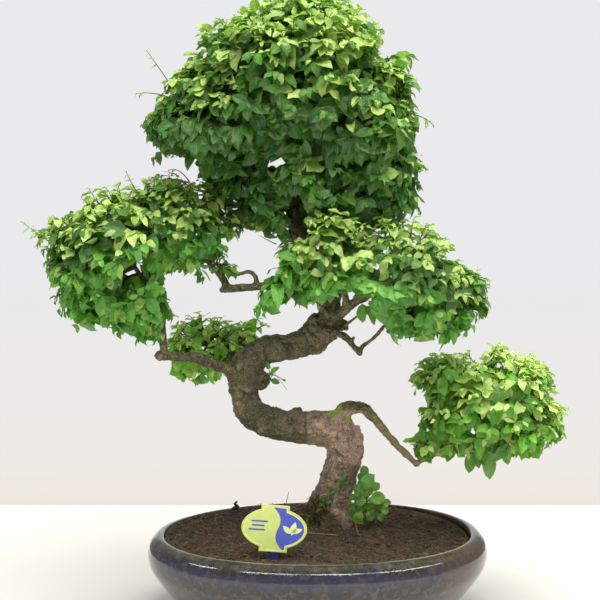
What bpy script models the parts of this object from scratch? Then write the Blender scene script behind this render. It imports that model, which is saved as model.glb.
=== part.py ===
"""A privet bonsai in an oval glazed pot.

The trunk leaves the soil, runs left, doubles back and rises into the crown. Its branches carry five
leafy heads. X is right, Y is away from the viewer, Z is up, and the origin is the middle of the
pot's base. Sizes are in millimetres, which MM turns into the scene's metres.
"""

import math
import random

import bmesh
import bpy
from mathutils import Matrix, Vector, noise

MM = 0.001
SEED = 41

# Pot: half widths along its length. From above it is a slightly squared oval, turned a little about Z
# and larger at its right end
POT_DEPTH_SHARE = 0.743
POT_SQUARENESS = 2.15
POT_RIGHT_REACH = 0.005
POT_RIGHT_SWELL = 0.045
POT_TURN = math.radians(4.5)
POT_BASE_HALF = 135.5
POT_WIDEST_HALF = 189.8
POT_WIDEST_Z = 75.0
POT_OPENING_HALF = 172.8
POT_HEIGHT = 97.1
POT_SHOULDER_POWER = 2.2
POT_WALL = 8.0
POT_FLOOR = 10.0
POT_SEGMENTS = 30
DRAIN_X = 70.0
DRAIN_RADIUS = 8.0
GROOVE_WIDTH = 22.0
GROOVE_DEPTH = 3.5

# Soil
SOIL_GAP = 0.3
SOIL_EDGE_Z = 92.0
SOIL_UNDER_LIP_Z = 83.4
SOIL_TOP_HALF = 170.6
SOIL_SLOPE = (-0.018, 0.035)
SOIL_MOUND = 8.5
SOIL_MOUND_SPREAD = 80.0
SOIL_LUMP = 1.6
SOIL_RINGS = 5

# Wood: each point is x, y, z and radius
TRUNK_SIDES = 11
BRANCH_SIDES = 7
TWIG_SIDES = 5
TRUNK_SPACING = 18
UPPER_SPACING = 26
BRANCH_SPACING = 17
SPRIG_SPACING = 9
BARK_LUMP = 0.07
BARK_LUMP_SPACING = 26.0
SOCKET_GAP = 0.4
TRUNK_BASE = (20.0, 40.0)
LOWER_TRUNK = [
    (19, 40, 62, 24), (17, 40, 92, 29), (14.5, 40, 110, 27), (20, 39, 131, 21.8),
    (25.5, 37, 153, 20.3), (32, 34, 176, 21.5), (31, 31, 200, 22),
]
BENT_TRUNK = [
    (34, 29, 206, 17), (20, 28, 210, 20), (-1, 27, 210.5, 19), (-29, 28, 212, 18),
    (-55, 32, 216, 18), (-74, 38, 226.5, 17.5), (-82.5, 43, 246, 16.5), (-83, 46, 266, 18.5),
    (-75, 46, 284, 18), (-55, 41, 298, 16), (-30, 34, 301.5, 15.3), (-6, 28, 312, 18),
    (9, 25, 328, 20),
]
TRUNK_KNOBS = [
    (44.5, 33, 184, 10.5), (-66, 36, 265, 13), (-22, 26, 227.5, 7), (27, 26, 328, 9), (8, 31, 199, 13),
]
UPPER_TRUNK = [
    (6, 25, 322, 13), (14, 25, 340, 14), (14, 26, 356, 10.5), (7, 30, 381, 9), (-9, 34, 412, 9),
    (-24, 36, 441, 8.4), (-28, 36, 469, 7.8), (-24, 34, 502, 6.6), (-17, 32, 536, 5),
    (-19, 30, 569, 3.4),
]
BRANCHES = {
    "low right": [
        (20, 27, 216, 10.5), (32, 22, 231, 9.5), (45, 18, 235.5, 7.6), (56, 16, 232.5, 7),
        (65, 15, 223, 5.8), (75.5, 14, 210.5, 4.8), (88.5, 13, 196, 4.3), (101.5, 12, 182.5, 4),
        (114, 11, 170.5, 3.9),
    ],
    "left": [
        (-80, 44, 270, 9), (-100, 38, 276, 7.9), (-119, 30, 284, 6.7), (-136, 24, 291, 5.9),
        (-156, 20, 293, 5.3), (-172, 17, 295, 5.6), (-179, 16, 295, 5),
    ],
    "left riser": [
        (-171, 17, 292, 4.5), (-173, 17, 315, 4.4), (-173, 17, 333, 3.9), (-178, 17, 353, 3.3),
        (-189, 17, 373, 2.9), (-203, 18, 394, 2.4),
    ],
    "middle left": [
        (12, 26, 360, 6.7), (-12, 14, 372, 5.8), (-38, 5, 377, 5.1), (-64, 0, 375, 4.6),
        (-84, 0, 373, 4.6), (-98, 2, 372, 4.6), (-106, 2, 371, 3.6),
    ],
    "right": [
        (17, 22, 334, 6.7), (37, 14, 351, 5.6), (55, 4, 363, 4.6), (72, -8, 375, 3.7), (88, -18, 387, 3),
    ],
}
TWIGS = {
    "low right riser": [(112, 11, 173, 3.4), (131, 10, 183, 3.3), (152, 9, 203, 2.8), (172, 8, 223, 2.2)],
    "middle left riser": [
        (-99, 2, 372, 3.8), (-106, 6, 385, 4), (-120, 12, 399, 3.3), (-135, 16, 412, 2.9),
        (-150, 18, 425, 2.4),
    ],
    "middle left spur": [(-67, 0, 375, 3.5), (-68, 0, 385, 3.1), (-75, 0, 391, 2.5), (-88, 0, 388, 2)],
    "right fork": [
        (31, 16, 346, 3.8), (32, 12, 362, 3.3), (29, 6, 375, 2.8), (21, -2, 387, 2.3), (12, -12, 398, 2),
    ],
    "right hook": [(17, 14, 325, 5), (33, 8, 316, 4), (48, 4, 298.5, 3.2)],
    "right hook riser": [
        (47, 4, 301, 3), (51, 2, 308, 2.8), (66, -4, 321, 2.4), (78, -12, 339, 2.1), (85, -18, 356, 1.9),
    ],
    "right column": [
        (14, 28, 343, 6), (28, 40, 372, 4.5), (37, 48, 406, 3.9), (36, 50, 439, 3.4), (29, 48, 468, 2.9),
        (40, 44, 493, 2.5),
    ],
    "back": [(-22, 38, 424, 5), (-37, 58, 431, 3.9), (-56, 72, 444, 3.4), (-71, 80, 455, 2.8)],
    "back low": [(-82, 48, 276, 6), (-98, 66, 285, 4.1), (-112, 78, 292, 3.5), (-127, 86, 296, 2.6)],
}

# Leaf blades, longer than life so that they cover the heads
LEAF_LENGTH = 45.0
LEAF_WIDTH = 28.0
LEAF_THICKNESS = 1.4
LEAF_ROOT_SUNK = 5.0
LEAF_FOLD = 1.6
LEAF_DROOP = 4.0
LEAF_OUTLINE = [(0, 0), (0.34, 0.46), (0.72, 0.33), (1, 0), (0.72, -0.33), (0.34, -0.46)]
LEAF_RISE = 0.52
LEAF_RISE_ON_TOP = 0.35
LEAF_STRAY = 0.26
LEAST_RISE = 0.35
LOWEST_LEAF = -0.8
SMALL_LOBE_FAVOUR = 0.75
CORE_INSET = 24.0
CORE_INSET_ABOVE = 15.0
CORE_LEAST = 9.0
CORE_CLEARANCE = 4.0
HEAD_GAP = 1.5
WOOD_CLEARANCE = 1.0

# Heads: how many leaves are tried, then each lobe's centre x, y, z, half width, half depth, height
# above the centre and depth below it
HEADS = {
    "foliage_crown": {
        "leaves": 232,
        "lobes": [
            (-14, 30, 590, 122, 112, 111, 88), (-103, 30, 554, 86, 92, 84, 58), (54, 30, 548, 60, 92, 78, 80),
            (65, 34, 492, 58, 72, 60, 62), (-8, 30, 484, 80, 84, 62, 58), (-74, 44, 500, 52, 62, 54, 46),
            (-62, 30, 598, 84, 88, 92, 70),
        ],
    },
    "foliage_left": {
        "leaves": 84,
        "lobes": [
            (-224, 18, 407, 88, 80, 86, 72), (-148, 20, 442, 64, 62, 62, 48), (-250, 18, 370, 48, 52, 60, 42),
            (-198, 18, 352, 34, 48, 48, 36),
        ],
    },
    "foliage_right": {
        "leaves": 74,
        "lobes": [
            (80, -26, 388, 84, 74, 72, 58), (133, -20, 360, 54, 58, 54, 43), (2, -38, 402, 61, 48, 64, 50),
            (-46, -38, 366, 21, 28, 23, 20),
        ],
    },
    "foliage_low_right": {
        "leaves": 47,
        "lobes": [(198, 10, 240, 80, 70, 74, 62), (144, 10, 226, 40, 46, 60, 56)],
    },
    "foliage_back_left": {
        "leaves": 20,
        "lobes": [(-122, 90, 297, 62, 46, 37, 42)],
    },
}

# Sprigs: stem points with radius, then how many leaves, their size and where the first one sits
SPRIGS = {
    "elbow_sprig": {
        "stem": [(-62, 32, 270, 1.5), (-53, 25, 274, 1.4), (-46, 21, 271, 1.2)],
        "leaves": 3, "first": 0.5, "heading": -150, "pitch": -25, "length": 17, "width": 10,
    },
    "basal_shoot": {
        "stem": [(55, 20, 70, 1.8), (56, 17, 104, 1.7), (57, 14, 125, 1.5), (56, 15, 148, 1.2)],
        "leaves": 11, "first": 0.42, "heading": -60, "pitch": 25, "length": 25, "width": 19,
    },
}
LEAF_TURN = 137.5

# Plant label
LABEL_CENTRE = (-46.5, -85.0, 123.8)
LABEL_HALF_WIDTH = 35.2
LABEL_HALF_HEIGHT = 22.0
LABEL_THICKNESS = 1.8
LABEL_SEGMENTS = 16
LABEL_LEAN = math.radians(-8)
LABEL_RIM = 2.4
LABEL_RIM_HEIGHT = 0.7
STAKE_WIDTH = 9.0
STAKE_BOTTOM_Z = 48.0
TAB_WIDTH = 30.4
TAB_REACH = 3.0

# Colours and roughness
FINISHES = {
    "pot": ((0.045, 0.045, 0.048), 0.25),
    "soil": ((0.045, 0.027, 0.018), 0.95),
    "wood": ((0.17, 0.125, 0.085), 0.85),
    "plant_label": ((0.42, 0.55, 0.06), 0.4),
    "leaf": ((0.16, 0.3, 0.055), 0.5),
}


def finish(name):
    """A material with the colour and roughness listed for name."""
    colour, roughness = FINISHES[name]
    made = bpy.data.materials.get(name) or bpy.data.materials.new(name)
    made.use_nodes = True
    shader = made.node_tree.nodes["Principled BSDF"]
    shader.inputs["Base Color"].default_value = (*colour, 1.0)
    shader.inputs["Roughness"].default_value = roughness
    shader.inputs["Metallic"].default_value = 0.0
    return made


def add_object(name, bm, finish_name):
    """Turns a bmesh in millimetres into an object in metres."""
    bmesh.ops.scale(bm, vec=(MM, MM, MM), verts=bm.verts)
    bmesh.ops.recalc_face_normals(bm, faces=bm.faces)
    mesh = bpy.data.meshes.new(name)
    bm.to_mesh(mesh)
    bm.free()
    mesh.materials.append(finish(finish_name))
    obj = bpy.data.objects.new(name, mesh)
    bpy.context.scene.collection.objects.link(obj)
    return obj


def shade(obj, degrees):
    obj.data.shade_smooth()
    obj.data.set_sharp_from_angle(angle=math.radians(degrees))


def remove(obj):
    mesh = obj.data
    bpy.data.objects.remove(obj)
    bpy.data.meshes.remove(mesh)


def bake(obj):
    """Replaces an object's mesh by what its modifiers make of it."""
    bpy.context.view_layer.update()
    graph = bpy.context.evaluated_depsgraph_get()
    baked = bpy.data.meshes.new_from_object(obj.evaluated_get(graph))
    old = obj.data
    obj.modifiers.clear()
    obj.data = baked
    bpy.data.meshes.remove(old)


def cut(obj, cutter, solver="EXACT"):
    modifier = obj.modifiers.new("cut", "BOOLEAN")
    modifier.operation = "DIFFERENCE"
    modifier.solver = solver
    modifier.object = cutter
    bake(obj)


def fuse(name, pieces, solver="EXACT"):
    """Joins overlapping pieces in one solid, and removes them."""
    group = bpy.data.collections.new(name)
    bpy.context.scene.collection.children.link(group)
    base, rest = pieces[0], pieces[1:]
    base.name = name
    for piece in rest:
        bpy.context.scene.collection.objects.unlink(piece)
        group.objects.link(piece)
    modifier = base.modifiers.new("fuse", "BOOLEAN")
    modifier.operation = "UNION"
    modifier.solver = solver
    modifier.operand_type = "COLLECTION"
    modifier.collection = group
    bake(base)
    for piece in rest:
        remove(piece)
    bpy.data.collections.remove(group)
    return base


def keep_largest(obj):
    """Drops loose scraps and sealed hollows, which leaves one closed body."""
    bm = bmesh.new()
    bm.from_mesh(obj.data)
    unseen = set(bm.verts)
    bodies = []
    while unseen:
        body = {unseen.pop()}
        front = list(body)
        while front:
            for edge in front.pop().link_edges:
                for vert in edge.verts:
                    if vert in unseen:
                        unseen.discard(vert)
                        body.add(vert)
                        front.append(vert)
        bodies.append(body)
    largest = max(bodies, key=len)
    loose = [vert for body in bodies if body is not largest for vert in body]
    bmesh.ops.delete(bm, geom=loose, context="VERTS")
    bm.to_mesh(obj.data)
    bm.free()


def turned_by(x, y, turn):
    return x * math.cos(turn) - y * math.sin(turn), x * math.sin(turn) + y * math.cos(turn)


def oval(half, turn):
    """A place on the pot's outline seen from above, for a half width."""
    along, across = math.cos(turn), math.sin(turn)
    x = half * math.copysign(abs(along) ** (2 / POT_SQUARENESS), along)
    y = half * math.copysign(abs(across) ** (2 / POT_SQUARENESS), across)
    end = x / POT_WIDEST_HALF
    x *= 1 + POT_RIGHT_REACH * (1 + end)
    return turned_by(x, y * POT_DEPTH_SHARE * (1 + POT_RIGHT_SWELL * end), POT_TURN)


def label_oval(half, turn):
    return half * math.cos(turn), half * math.sin(turn) * LABEL_HALF_HEIGHT / LABEL_HALF_WIDTH


def lathe(profile, segments, outline, bump=None):
    """A solid that follows an outline about Z, from a profile of half width and z between its axis ends."""
    bm = bmesh.new()
    rings = []
    for half, z in profile:
        if half == 0:
            rings.append([bm.verts.new((0, 0, z))])
            continue
        ring = []
        for k in range(segments):
            turn = 2 * math.pi * (k + 0.5) / segments
            x, y = outline(half, turn)
            ring.append(bm.verts.new((x, y, z + (bump(x, y, z) if bump else 0))))
        rings.append(ring)
    for low, high in zip(rings, rings[1:]):
        for k in range(segments):
            nxt = (k + 1) % segments
            if len(low) == 1:
                bm.faces.new((low[0], high[nxt], high[k]))
            elif len(high) == 1:
                bm.faces.new((low[k], low[nxt], high[0]))
            else:
                bm.faces.new((low[k], low[nxt], high[nxt], high[k]))
    return bm


def catmull(a, b, c, d, t):
    """A point between b and c on the smooth curve through all four."""
    return 0.5 * (2 * b + (c - a) * t + (2 * a - 5 * b + 4 * c - d) * t**2 + (3 * b - a - 3 * c + d) * t**3)


def smooth_route(points, spacing):
    """Points and radii at about even spacing along the smooth curve through a route."""
    stops = [Vector(p) for p in points]
    stops = [2 * stops[0] - stops[1], *stops, 2 * stops[-1] - stops[-2]]
    route = []
    for a, b, c, d in zip(stops, stops[1:], stops[2:], stops[3:]):
        steps = max(1, round((c.xyz - b.xyz).length / spacing))
        route += [catmull(a, b, c, d, k / steps) for k in range(steps)]
    return [*route, stops[-2]]


def lump(place):
    return noise.noise(Vector(place) / BARK_LUMP_SPACING)


def tube(points, sides, spacing, grow=0.0):
    """A round branch with domed ends and an uneven bark."""
    route = smooth_route(points, spacing)
    centres = [stop.xyz for stop in route]
    radii = [stop.w for stop in route]
    ways = []
    for k in range(len(centres)):
        before = centres[max(k - 1, 0)]
        after = centres[min(k + 1, len(centres) - 1)]
        ways.append((after - before).normalized())
    stations = list(zip(centres, radii, ways))
    start, end = stations[0], stations[-1]
    stations.insert(0, (start[0] - start[2] * start[1] * 0.5, start[1] * 0.75, start[2]))
    stations.append((end[0] + end[2] * end[1] * 0.5, end[1] * 0.75, end[2]))

    bm = bmesh.new()
    across = stations[0][2].orthogonal().normalized()
    rings = []
    for centre, radius, way in stations:
        across = (across - way * across.dot(way)).normalized()
        other = way.cross(across)
        ring = []
        for k in range(sides):
            turn = 2 * math.pi * k / sides
            out = across * math.cos(turn) + other * math.sin(turn)
            bark = 1 + BARK_LUMP * lump(centre + out * radius)
            ring.append(bm.verts.new(centre + out * (radius * bark + grow)))
        rings.append(ring)
    for low, high in zip(rings, rings[1:]):
        for k in range(sides):
            nxt = (k + 1) % sides
            bm.faces.new((low[k], low[nxt], high[nxt], high[k]))
    for ring, (centre, radius, way), side in ((rings[0], stations[0], -1), (rings[-1], stations[-1], 1)):
        tip = bm.verts.new(centre + way * side * (radius * 0.35 + grow))
        for k in range(sides):
            bm.faces.new((ring[k], ring[(k + 1) % sides], tip))
    return bm


def knob(place, grow):
    """A rounded burl that stands out of the trunk."""
    x, y, z, radius = place
    bm = bmesh.new()
    middle = Matrix.Translation((x, y, z))
    bmesh.ops.create_icosphere(bm, subdivisions=2, radius=radius + grow, matrix=middle)
    return bm


def wood_pieces(grow=0.0):
    """Trunk and branches as separate tubes that overlap where they join."""
    tubes = [tube(route, TRUNK_SIDES, TRUNK_SPACING, grow) for route in (LOWER_TRUNK, BENT_TRUNK)]
    tubes.append(tube(UPPER_TRUNK, BRANCH_SIDES, UPPER_SPACING, grow))
    tubes += [tube(route, BRANCH_SIDES, BRANCH_SPACING, grow) for route in BRANCHES.values()]
    tubes += [tube(route, TWIG_SIDES, BRANCH_SPACING, grow) for route in TWIGS.values()]
    tubes += [knob(place, grow) for place in TRUNK_KNOBS]
    return [add_object(f"wood_{k}", bm, "wood") for k, bm in enumerate(tubes)]


def make_wood():
    wood = fuse("wood", wood_pieces())
    shade(wood, 50)


def pot_shoulder(steps):
    """The section from the widest place to the lip, fuller than a quarter of an ellipse."""
    reach, rise = POT_WIDEST_HALF - POT_OPENING_HALF, POT_HEIGHT - POT_WIDEST_Z
    section = []
    for k in range(steps + 1):
        turn = math.pi / 2 * k / steps
        half = POT_OPENING_HALF + reach * math.cos(turn) ** (2 / POT_SHOULDER_POWER)
        section.append((half, POT_WIDEST_Z + rise * math.sin(turn) ** (2 / POT_SHOULDER_POWER)))
    return section


def pot_profile():
    """Half widths and heights of the pot's section, from the base's middle round to the floor's middle."""
    outer = [
        (POT_BASE_HALF - 3.5, 0), (POT_BASE_HALF, 3), (POT_BASE_HALF + 11.5, 12), (POT_BASE_HALF + 22.8, 24),
        (POT_BASE_HALF + 38.5, 43), (POT_WIDEST_HALF - 3.6, 61), *pot_shoulder(4),
    ]
    lip = [(POT_OPENING_HALF - 1.2, POT_HEIGHT - 1.2), (POT_OPENING_HALF - 1.7, POT_HEIGHT - 6)]
    return outer, lip, inner_wall(0)


def inner_wall(gap):
    """The pot's inner side from under the lip down to the floor, moved in by a gap."""
    wall = POT_WALL + gap
    return [
        (POT_WIDEST_HALF - wall - 5, POT_HEIGHT - 14), (POT_WIDEST_HALF - wall, POT_WIDEST_Z - 4),
        (POT_BASE_HALF + 38.5 - wall, 43 + wall * 0.3), (POT_BASE_HALF + 22.8 - wall, 24 + wall * 0.5),
        (POT_BASE_HALF - wall, POT_FLOOR + gap),
    ]


def make_pot():
    outer, lip, inner = pot_profile()
    bm = lathe([*outer, *lip, *inner, (0, POT_FLOOR)], POT_SEGMENTS, oval)
    base_ring = [vert for vert in bm.verts if vert.co.z == 0]
    bm.faces.new(base_ring[::-1])
    pot = add_object("pot", bm, "pot")
    for side in (-1, 1):
        groove = bmesh.new()
        size = Matrix.Diagonal((GROOVE_WIDTH, 400, 2 * GROOVE_DEPTH, 1))
        bmesh.ops.create_cube(groove, size=1, matrix=Matrix.Translation((side * DRAIN_X, 0, 0)) @ size)
        hole = bmesh.new()
        place = Matrix.Translation((side * DRAIN_X, 0, POT_FLOOR / 2))
        bmesh.ops.create_cone(
            hole, cap_ends=True, segments=16, radius1=DRAIN_RADIUS, radius2=DRAIN_RADIUS,
            depth=POT_FLOOR * 3, matrix=place,
        )
        for cutter_mesh in (groove, hole):
            cutter = add_object("drain_cutter", cutter_mesh, "pot")
            cut(pot, cutter)
            remove(cutter)
    shade(pot, 40)


def soil_height(x, y, z):
    """How far the soil's top stands above the level of its edge."""
    if z < SOIL_EDGE_Z - 1:
        return 0
    reach = math.hypot(x - TRUNK_BASE[0], (y - TRUNK_BASE[1]) / POT_DEPTH_SHARE)
    mound = SOIL_MOUND * math.exp(-((reach / SOIL_MOUND_SPREAD) ** 2))
    along, across = turned_by(x, y, -POT_TURN)
    edge = math.hypot(along, across / POT_DEPTH_SHARE) / POT_OPENING_HALF
    fade = max(0.0, 1 - edge**6)
    slope = SOIL_SLOPE[0] * x + SOIL_SLOPE[1] * y
    return slope + fade * (mound + SOIL_LUMP * noise.noise(Vector((x, y, 0)) / 17))


def make_soil(clear_of):
    wall = inner_wall(SOIL_GAP)
    profile = [(0, POT_FLOOR + SOIL_GAP), *wall[::-1], (SOIL_TOP_HALF, SOIL_UNDER_LIP_Z)]
    profile += [(SOIL_TOP_HALF * (1 - k / SOIL_RINGS), SOIL_EDGE_Z) for k in range(SOIL_RINGS)]
    profile.append((0, SOIL_EDGE_Z))
    soil = add_object("soil", lathe(profile, POT_SEGMENTS, oval, soil_height), "soil")
    for cutter in clear_of:
        cut(soil, cutter)
    keep_largest(soil)
    shade(soil, 60)


def leaf(length, width, place):
    """A pointed blade, folded along its rib and bent down at the tip, with its root at place's origin."""

    def height(share, half):
        return LEAF_FOLD * (abs(half) * 2 - 1) - LEAF_DROOP * (share - 0.4) ** 2 * length / 20

    bm = bmesh.new()
    edge = [
        bm.verts.new((share * length, half * width, height(share, half))) for share, half in LEAF_OUTLINE
    ]
    for side in (1, -1):
        middle = bm.verts.new((0.5 * length, 0, height(0.5, 0) + side * LEAF_THICKNESS / 2))
        for k, corner in enumerate(edge):
            bm.faces.new((corner, edge[(k + 1) % len(edge)], middle)[::-side])
    bmesh.ops.transform(bm, matrix=place, verts=bm.verts)
    return bm


def leaf_place(root, way, face):
    """A matrix whose X runs along the leaf and whose Z points out of its upper side."""
    along = way.normalized()
    up = (face - along * face.dot(along)).normalized()
    across = up.cross(along)
    turn = Matrix((along, across, up)).transposed().to_4x4()
    return Matrix.Translation(root) @ turn


def lobe_distance(lobe, point):
    """About how far a point is outside a lobe, or below zero inside it."""
    x, y, z, wide, deep, above, below = lobe
    high = above if point.z > z else below
    share = Vector(((point.x - x) / wide, (point.y - y) / deep, (point.z - z) / high)).length
    return (share - 1) * min(wide, deep, high)


def head_distance(name, point):
    return min(lobe_distance(lobe, point) for lobe in HEADS[name]["lobes"])


def core_lobe(lobe):
    """The lobe's core, smaller than the lobe by how far the leaves stand out."""
    insets = (CORE_INSET, CORE_INSET, CORE_INSET_ABOVE, CORE_INSET)
    return (*lobe[:3], *(max(half - inset, CORE_LEAST) for half, inset in zip(lobe[3:], insets)))


def core(lobe):
    x, y, z, wide, deep, above, below = core_lobe(lobe)
    bm = bmesh.new()
    bmesh.ops.create_icosphere(bm, subdivisions=2, radius=1)
    for vert in bm.verts:
        high = above if vert.co.z > 0 else below
        vert.co = Vector((x + vert.co.x * wide, y + vert.co.y * deep, z + vert.co.z * high))
    return bm


def spiral(count):
    """Even directions over a ball, from its top down to where leaves stop."""
    golden = math.pi * (3 - math.sqrt(5))
    for k in range(count):
        z = 1 - (1 - LOWEST_LEAF) * (k + 0.5) / count
        flat = math.sqrt(1 - z * z)
        yield Vector((flat * math.cos(golden * k), flat * math.sin(golden * k), z))


def wood_distance(point, routes):
    """How far a point is from the bark, along sampled routes."""
    return min((point - stop.xyz).length - stop.w for route in routes for stop in route)


def leaf_on_lobe(lobe, direction, draw):
    """Where a leaf roots on a lobe's core, and how it points and faces."""
    x, y, z, wide, deep, above, below = core_lobe(lobe)
    high = above if direction.z > 0 else below
    out = Vector((direction.x * wide, direction.y * deep, direction.z * high))
    normal = Vector((direction.x / wide, direction.y / deep, direction.z / high)).normalized()
    flat = Vector((direction.x, direction.y, 0))
    flat = flat.normalized() if flat.length > 0.01 else Vector((1, 0, 0))
    stray = Vector((draw.uniform(-1, 1), draw.uniform(-1, 1), draw.uniform(-0.5, 0.5)))
    side = 1 - abs(normal.z)
    hang = flat * (0.35 + 0.65 * abs(normal.z)) - Vector((0, 0, 0.9 * side))
    hang = (hang - normal * hang.dot(normal)).normalized()
    rise = LEAF_RISE + LEAF_RISE_ON_TOP * max(0.0, normal.z)
    way = (hang * 0.85 + normal * rise + stray * LEAF_STRAY).normalized()
    if way.dot(normal) < LEAST_RISE:
        way = (way + normal * (LEAST_RISE + 0.1 - way.dot(normal))).normalized()
    face = normal * 0.8 + Vector((0, 0, 0.5)) + stray * 0.3
    root = Vector((x, y, z)) + out - way * LEAF_ROOT_SUNK
    return root, way, face


def room_for(blade, name, routes):
    """True where a blade stays in its own head's space and clear of the bark."""
    for corner in [vert.co for vert in blade.verts]:
        own = head_distance(name, corner) + HEAD_GAP
        if any(own > head_distance(other, corner) for other in HEADS if other != name):
            return False
        if wood_distance(corner, routes) < WOOD_CLEARANCE:
            return False
    return True


def head_blades(name, routes):
    """The leaves of a head, spread evenly over the cores of its lobes."""
    lobes = HEADS[name]["lobes"]
    draw = random.Random(SEED + len(name))
    areas = [wide * deep + wide * above + deep * below for *_, wide, deep, above, below in lobes]
    shares = [area**SMALL_LOBE_FAVOUR for area in areas]
    blades = []
    for lobe, share in zip(lobes, shares):
        siblings = [core_lobe(other) for other in lobes if other is not lobe]
        for direction in spiral(round(HEADS[name]["leaves"] * share / sum(shares))):
            root, way, face = leaf_on_lobe(lobe, direction, draw)
            length = LEAF_LENGTH * draw.uniform(0.88, 1.08)
            width = LEAF_WIDTH * draw.uniform(0.9, 1.1)
            surface = root + way * LEAF_ROOT_SUNK
            if any(lobe_distance(other, surface) < CORE_CLEARANCE for other in siblings):
                continue
            blade = leaf(length, width, leaf_place(root, way, face))
            if room_for(blade, name, routes):
                blades.append(add_object(f"{name}_blade", blade, "leaf"))
            else:
                blade.free()
    return blades


def make_head(name, wood_cutter, routes):
    """A head of leaves on its cores, with sockets where the branches enter it."""
    cores = [add_object(f"{name}_core", core(lobe), "leaf") for lobe in HEADS[name]["lobes"]]
    made = fuse(name, cores + head_blades(name, routes), "MANIFOLD")
    cut(made, wood_cutter, "MANIFOLD")
    keep_largest(made)


def make_sprig(name, wood_cutter):
    """A short green stem with a few leaves that turn round it."""
    sprig = SPRIGS[name]
    route = smooth_route(sprig["stem"], 4)
    pieces = [add_object(name, tube(sprig["stem"], TWIG_SIDES, SPRIG_SPACING), "leaf")]
    for k in range(sprig["leaves"]):
        share = sprig["first"] + (1 - sprig["first"]) * k / (sprig["leaves"] - 1)
        stop = route[round(share * (len(route) - 1))]
        flat = math.radians(sprig["heading"] + LEAF_TURN * k)
        rise = math.radians(sprig["pitch"])
        way = Vector((math.cos(flat) * math.cos(rise), math.sin(flat) * math.cos(rise), math.sin(rise)))
        place = leaf_place(stop.xyz - way * stop.w * 0.3, way, Vector((0, 0, 1)))
        pieces.append(add_object(f"{name}_blade", leaf(sprig["length"], sprig["width"], place), "leaf"))
    made = fuse(name, pieces, "MANIFOLD")
    cut(made, wood_cutter, "MANIFOLD")
    keep_largest(made)


def box(low, high):
    bm = bmesh.new()
    size = Matrix.Diagonal((*(b - a for a, b in zip(low, high)), 1))
    middle = Matrix.Translation([(a + b) / 2 for a, b in zip(low, high)])
    bmesh.ops.create_cube(bm, size=1, matrix=middle @ size)
    return bm


def label_pieces(grow=0.0):
    """The label's plate, tabs and stake, standing in the plane y = 0 round the plate's middle."""
    upright = Matrix.Rotation(math.radians(90), 4, "X")
    half = LABEL_THICKNESS / 2
    face = half - LABEL_RIM_HEIGHT
    plate_profile = [
        (0, -face), (LABEL_HALF_WIDTH - LABEL_RIM, -face), (LABEL_HALF_WIDTH - LABEL_RIM + 0.6, -half),
        (LABEL_HALF_WIDTH, -half), (LABEL_HALF_WIDTH, half), (LABEL_HALF_WIDTH - LABEL_RIM + 0.6, half),
        (LABEL_HALF_WIDTH - LABEL_RIM, face), (0, face),
    ]
    plate = lathe(plate_profile, LABEL_SEGMENTS, label_oval)
    bmesh.ops.transform(plate, matrix=upright, verts=plate.verts)
    reach = LABEL_HALF_HEIGHT + TAB_REACH
    tabs = box((-TAB_WIDTH / 2, -half * 0.8, -reach), (TAB_WIDTH / 2, half * 0.8, reach))
    bottom = STAKE_BOTTOM_Z - LABEL_CENTRE[2]
    stake = box(
        (-STAKE_WIDTH / 2 - grow, -half * 0.8 - grow, bottom - grow),
        (STAKE_WIDTH / 2 + grow, half * 0.8 + grow, -LABEL_HALF_HEIGHT + 6),
    )
    for vert in stake.verts:
        if vert.co.z < bottom + 1:
            vert.co.x *= 0.35
    return plate, tabs, stake


def stand_label(bm):
    lean = Matrix.Rotation(LABEL_LEAN, 4, "X")
    bmesh.ops.transform(bm, matrix=Matrix.Translation(LABEL_CENTRE) @ lean, verts=bm.verts)
    return bm


def make_label():
    pieces = [add_object("plant_label", stand_label(bm), "plant_label") for bm in label_pieces()]
    fuse("plant_label", pieces)


def label_slot():
    plate, tabs, stake = label_pieces(SOIL_GAP)
    plate.free()
    tabs.free()
    return add_object("label_slot", stand_label(stake), "soil")


def main():
    for obj in list(bpy.data.objects):
        bpy.data.objects.remove(obj)
    make_wood()
    wood_cutter = fuse("wood_cutter", wood_pieces(SOCKET_GAP))
    routes = [
        smooth_route(route, 6)
        for route in (LOWER_TRUNK, BENT_TRUNK, UPPER_TRUNK, *BRANCHES.values(), *TWIGS.values())
    ]
    for name in HEADS:
        make_head(name, wood_cutter, routes)
    for name in SPRIGS:
        make_sprig(name, wood_cutter)
    shoot_stem = tube(SPRIGS["basal_shoot"]["stem"], TWIG_SIDES, SPRIG_SPACING, SOCKET_GAP)
    shoot_hole = add_object("shoot_hole", shoot_stem, "soil")
    make_label()
    slot = label_slot()
    make_pot()
    cutters = (wood_cutter, shoot_hole, slot)
    make_soil(cutters)
    for cutter in cutters:
        remove(cutter)


main()
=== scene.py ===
"""The looks of a privet bonsai in an oval glazed pot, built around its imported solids.

Sizes and places are in millimetres, which MM turns into the scene's metres. X is right, Y is away
from the viewer, Z is up, and the origin is the middle of the pot's base.
"""

import math
import random
from collections import namedtuple

import bmesh
import bpy
import numpy as np
from mathutils import Matrix, Vector, noise


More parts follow.
